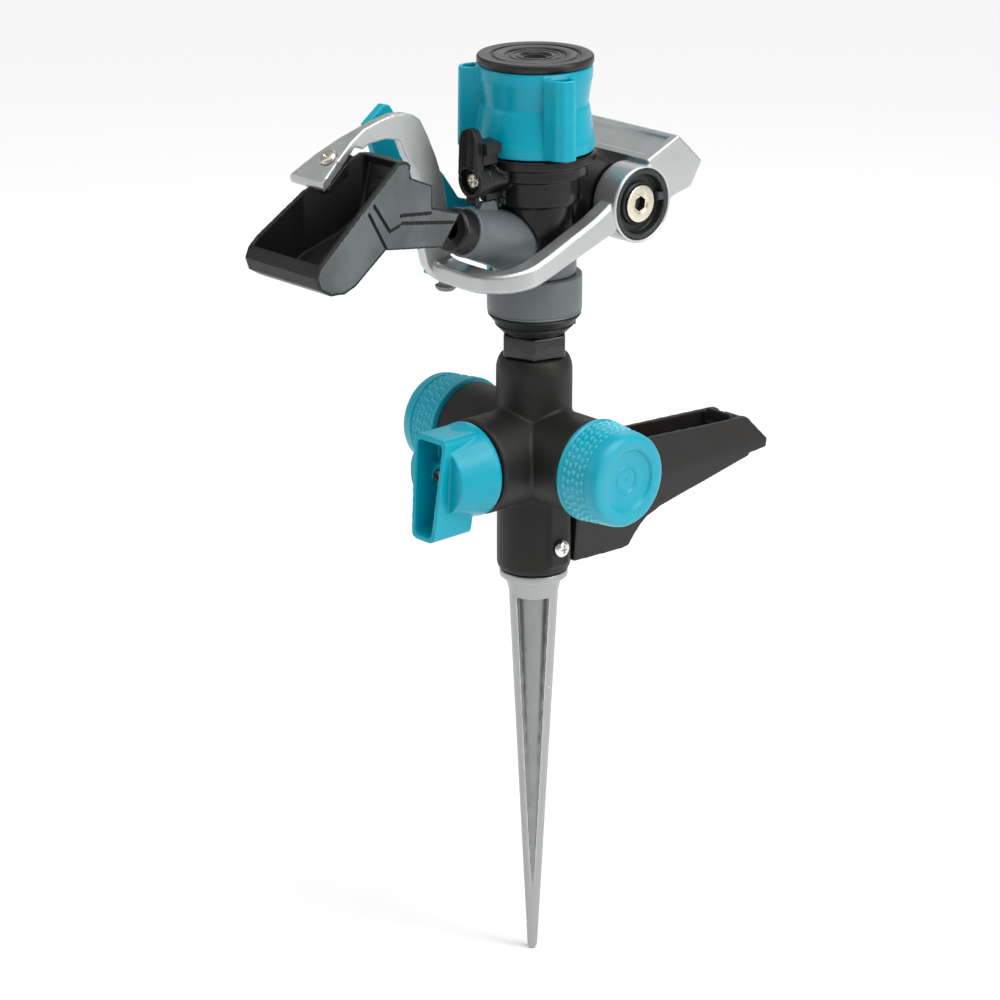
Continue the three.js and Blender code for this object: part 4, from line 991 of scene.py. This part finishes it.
def trip_lever():
    paddle = [(-63.4, 195.2), (-54, 201.9), (-51, 201.2), (-47.4, 195.8), (-22.6, 168.2), (-14.6, 157.4)]
    paddle += [(-3, 153.8), (1, 148), (-3, 142), (-13, 141.6), (-26, 127.4), (-31, 128.4)]
    paddle += [(-31, 141), (-27, 150), (-38, 163), (-58, 180.6)]
    plate = prism(paddle, -32.6, -29, "x")
    pivot = (0, *TRIP)
    hub = bar(5.6, 24.2, 32.6, "-x", pivot)
    dog = prism([(-5, 147), (1.6, 147), (8.6, 110), (8.6, 103.4), (3, 103.4), (2, 110)], -27.6, -24.6, "x")
    foot = box(-27.6, -19.8, 3, 8.6, 103.4, 107.4)
    pocket, hole = bar(3.5, 20, 28.7, "-x", pivot), bar(2.3, 20, 40, "-x", pivot, 32)
    body = cut(join(plate, hub, dog, foot), pocket, hole)
    place(moulded(body, 0.34, 4), "trip_lever", TEAL_LEVER, SMOOTH)


# ---------------------------------------------------------------- fasteners
def pan_screw(head_r, head_h, shank_r, length):
    """A cross-head screw along Z, with the underside of its head at the origin."""
    profile = [(0, -length), (shank_r, -length), (shank_r, 0), (head_r, 0)]
    for r_share, h_share in ((1, 0.42), (0.93, 0.66), (0.76, 0.86), (0.45, 1), (0, 1)):
        profile.append((head_r * r_share, head_h * h_share))
    body = lathe(profile, segments=64)
    reach, half, depth = head_r * 0.55, head_r * 0.12, head_h * 0.6
    blades = []
    for degrees in (0, 90):
        corners = []
        for r, z in ((reach, head_h + 0.5), (reach * 0.45, head_h - depth)):
            corners += [(sx * r, sy * half, z) for sx in (-1, 1) for sy in (-1, 1)]
        blades.append(moved(hull(corners), turn(degrees, "Z")))
    return edged(cut(body, *blades), 0.08, 40, 2)


def screws():
    forward = turn(90, "X")
    fasteners = [
        ("spike_screw", pan_screw(3.7, 2.3, 1.65, 10), shift(16.2, 0, SCREW_Z) @ turn(90, "Y"), PLATED),
        ("valve_screw", pan_screw(3.2, 2, 1.7, 13), shift(0, -51.3, CROSS_Z) @ forward, DARK_STEEL_AND_SHADE),
        ("housing_screw_right", pan_screw(3, 2, 1.5, 13), shift(8.6, 6, 161.8), STEEL),
        ("housing_screw_left", pan_screw(3, 2, 1.5, 13), shift(-8.6, 6, 161.8), STEEL),
        ("dial_screw", pan_screw(3.9, 2.4, 1.9, 18), shift(0, 0, 211.7), STEEL),
        ("deflector_screw", pan_screw(3.4, 1.9, 1.8, 12), shift(0, -32.5, DEFLECTOR_Z) @ forward, STEEL),
        ("trip_pin", pan_screw(4, 1.8, 1.75, 16), shift(-32.9, *TRIP) @ turn(-90, "Y"), STEEL),
    ]
    for node, piece, where, material in fasteners:
        place(moved(piece, where), node, material)
    place(on_saddle(pan_screw(3.5, 1.6, 1.6, 14), 3.9), "spoon_screw", STEEL)


# ---------------------------------------------------------------- build
ground_spike()
base_body()
foot_pedal()
port_cap("port_cap_right", "x", 0)
port_cap("port_cap_left", "-x", -LEFT_EXTRA)
valve_handle()
bearing_sleeve()
stop_ring("stop_ring_lower", 105.3, 13.2, 108.9, 16, 90)
stop_ring("stop_ring_upper", 109.2, 16.2, 113.4, 18.9, 120)
collar_nut()
water_elbow()
head_housing()
nozzle()
range_dial()
dial_disc()
deflector_lever()
swing_arm()
pivot_cover()
pivot_bolt()
arm_bumper()
spoon()
trip_lever()
screws()

# The hidden pieces keep their CAD shapes with better finishes.
KEPT = {
    "cap_washer_right": RUBBER,
    "cap_washer_left": RUBBER,
    "plug_o_ring": RUBBER,
    "sleeve_gasket": RUBBER,
    "bearing_seal": RUBBER,
    "nozzle_seal": RUBBER,
    "thrust_washer": NYLON,
    "valve_plug": RING_BLACK,
    "valve_retainer": RING_BLACK,
    "return_spring": STEEL,
}
for node, material in KEPT.items():
    slots = frame["nodes"][node].data.materials
    for i in range(len(slots)):
        slots[i] = material


# ---------------------------------------------------------------- studio
def floor():
    bpy.ops.mesh.primitive_plane_add(size=12, location=(0, 0, cad_low[2] - FLOOR_GAP))
    plane = bpy.context.object
    plane.name = "floor"
    made = Shader("floor_white", (252, 252, 252), 0.9, specular=0.1)
    plane.data.materials.append(made.material)


def light(name, kind, azimuth, elevation, energy, distance=0.0):
    """A light that faces the part, from degrees round from the front and degrees up."""
    a, e = math.radians(azimuth), math.radians(elevation)
    back = Vector((math.sin(a) * math.cos(e), -math.cos(a) * math.cos(e), math.sin(e)))
    data = bpy.data.lights.new(name, kind)
    data.energy = energy
    lamp = bpy.data.objects.new(name, data)
    lamp.location = LIGHT_AIM + back * distance
    lamp.rotation_mode = "QUATERNION"
    lamp.rotation_quaternion = (-back).to_track_quat("-Z", "Y")
    bpy.context.collection.objects.link(lamp)
    return data


def softbox(name, azimuth, elevation, distance, size, power):
    data = light(name, "AREA", azimuth, elevation, power, distance)
    data.shape = "RECTANGLE"
    data.size, data.size_y = size


def sky(name, azimuth, elevation, strength, spread):
    """A wide soft source far away, which lights the floor evenly."""
    light(name, "SUN", azimuth, elevation, strength).angle = math.radians(spread)


def world():
    made = bpy.data.worlds.new("studio")
    made.use_nodes = True
    background = made.node_tree.nodes["Background"]
    background.inputs["Color"].default_value = (1, 1, 1, 1)
    background.inputs["Strength"].default_value = WORLD_STRENGTH
    bpy.context.scene.world = made
    bpy.context.scene.view_settings.view_transform = "Standard"  # keeps the plastic's colours


def camera():
    data = bpy.data.cameras.new("camera")
    data.lens, data.sensor_width = LENS, SENSOR
    data.clip_start, data.clip_end = 0.05, 50
    cam = bpy.data.objects.new("camera", data)
    cam.location = CAMERA_PLACE
    cam.rotation_mode = "QUATERNION"
    cam.rotation_quaternion = (Vector(CAMERA_AIM) - cam.location).to_track_quat("-Z", "Y")
    bpy.context.collection.objects.link(cam)
    bpy.context.scene.camera = cam


floor()
world()
camera()
sky("key", 100, 52, 1.5, 50)
sky("fill", -10, 72, 0.6, 60)
softbox("strip_right", 112, 24, 1.0, (0.35, 0.9), 3.2)
softbox("strip_left", -38, 22, 1.0, (0.3, 0.9), 0.9)
softbox("top", 70, 78, 1.0, (0.8, 0.6), 2.6)
softbox("rim", 215, 35, 1.2, (0.6, 0.8), 1.4)
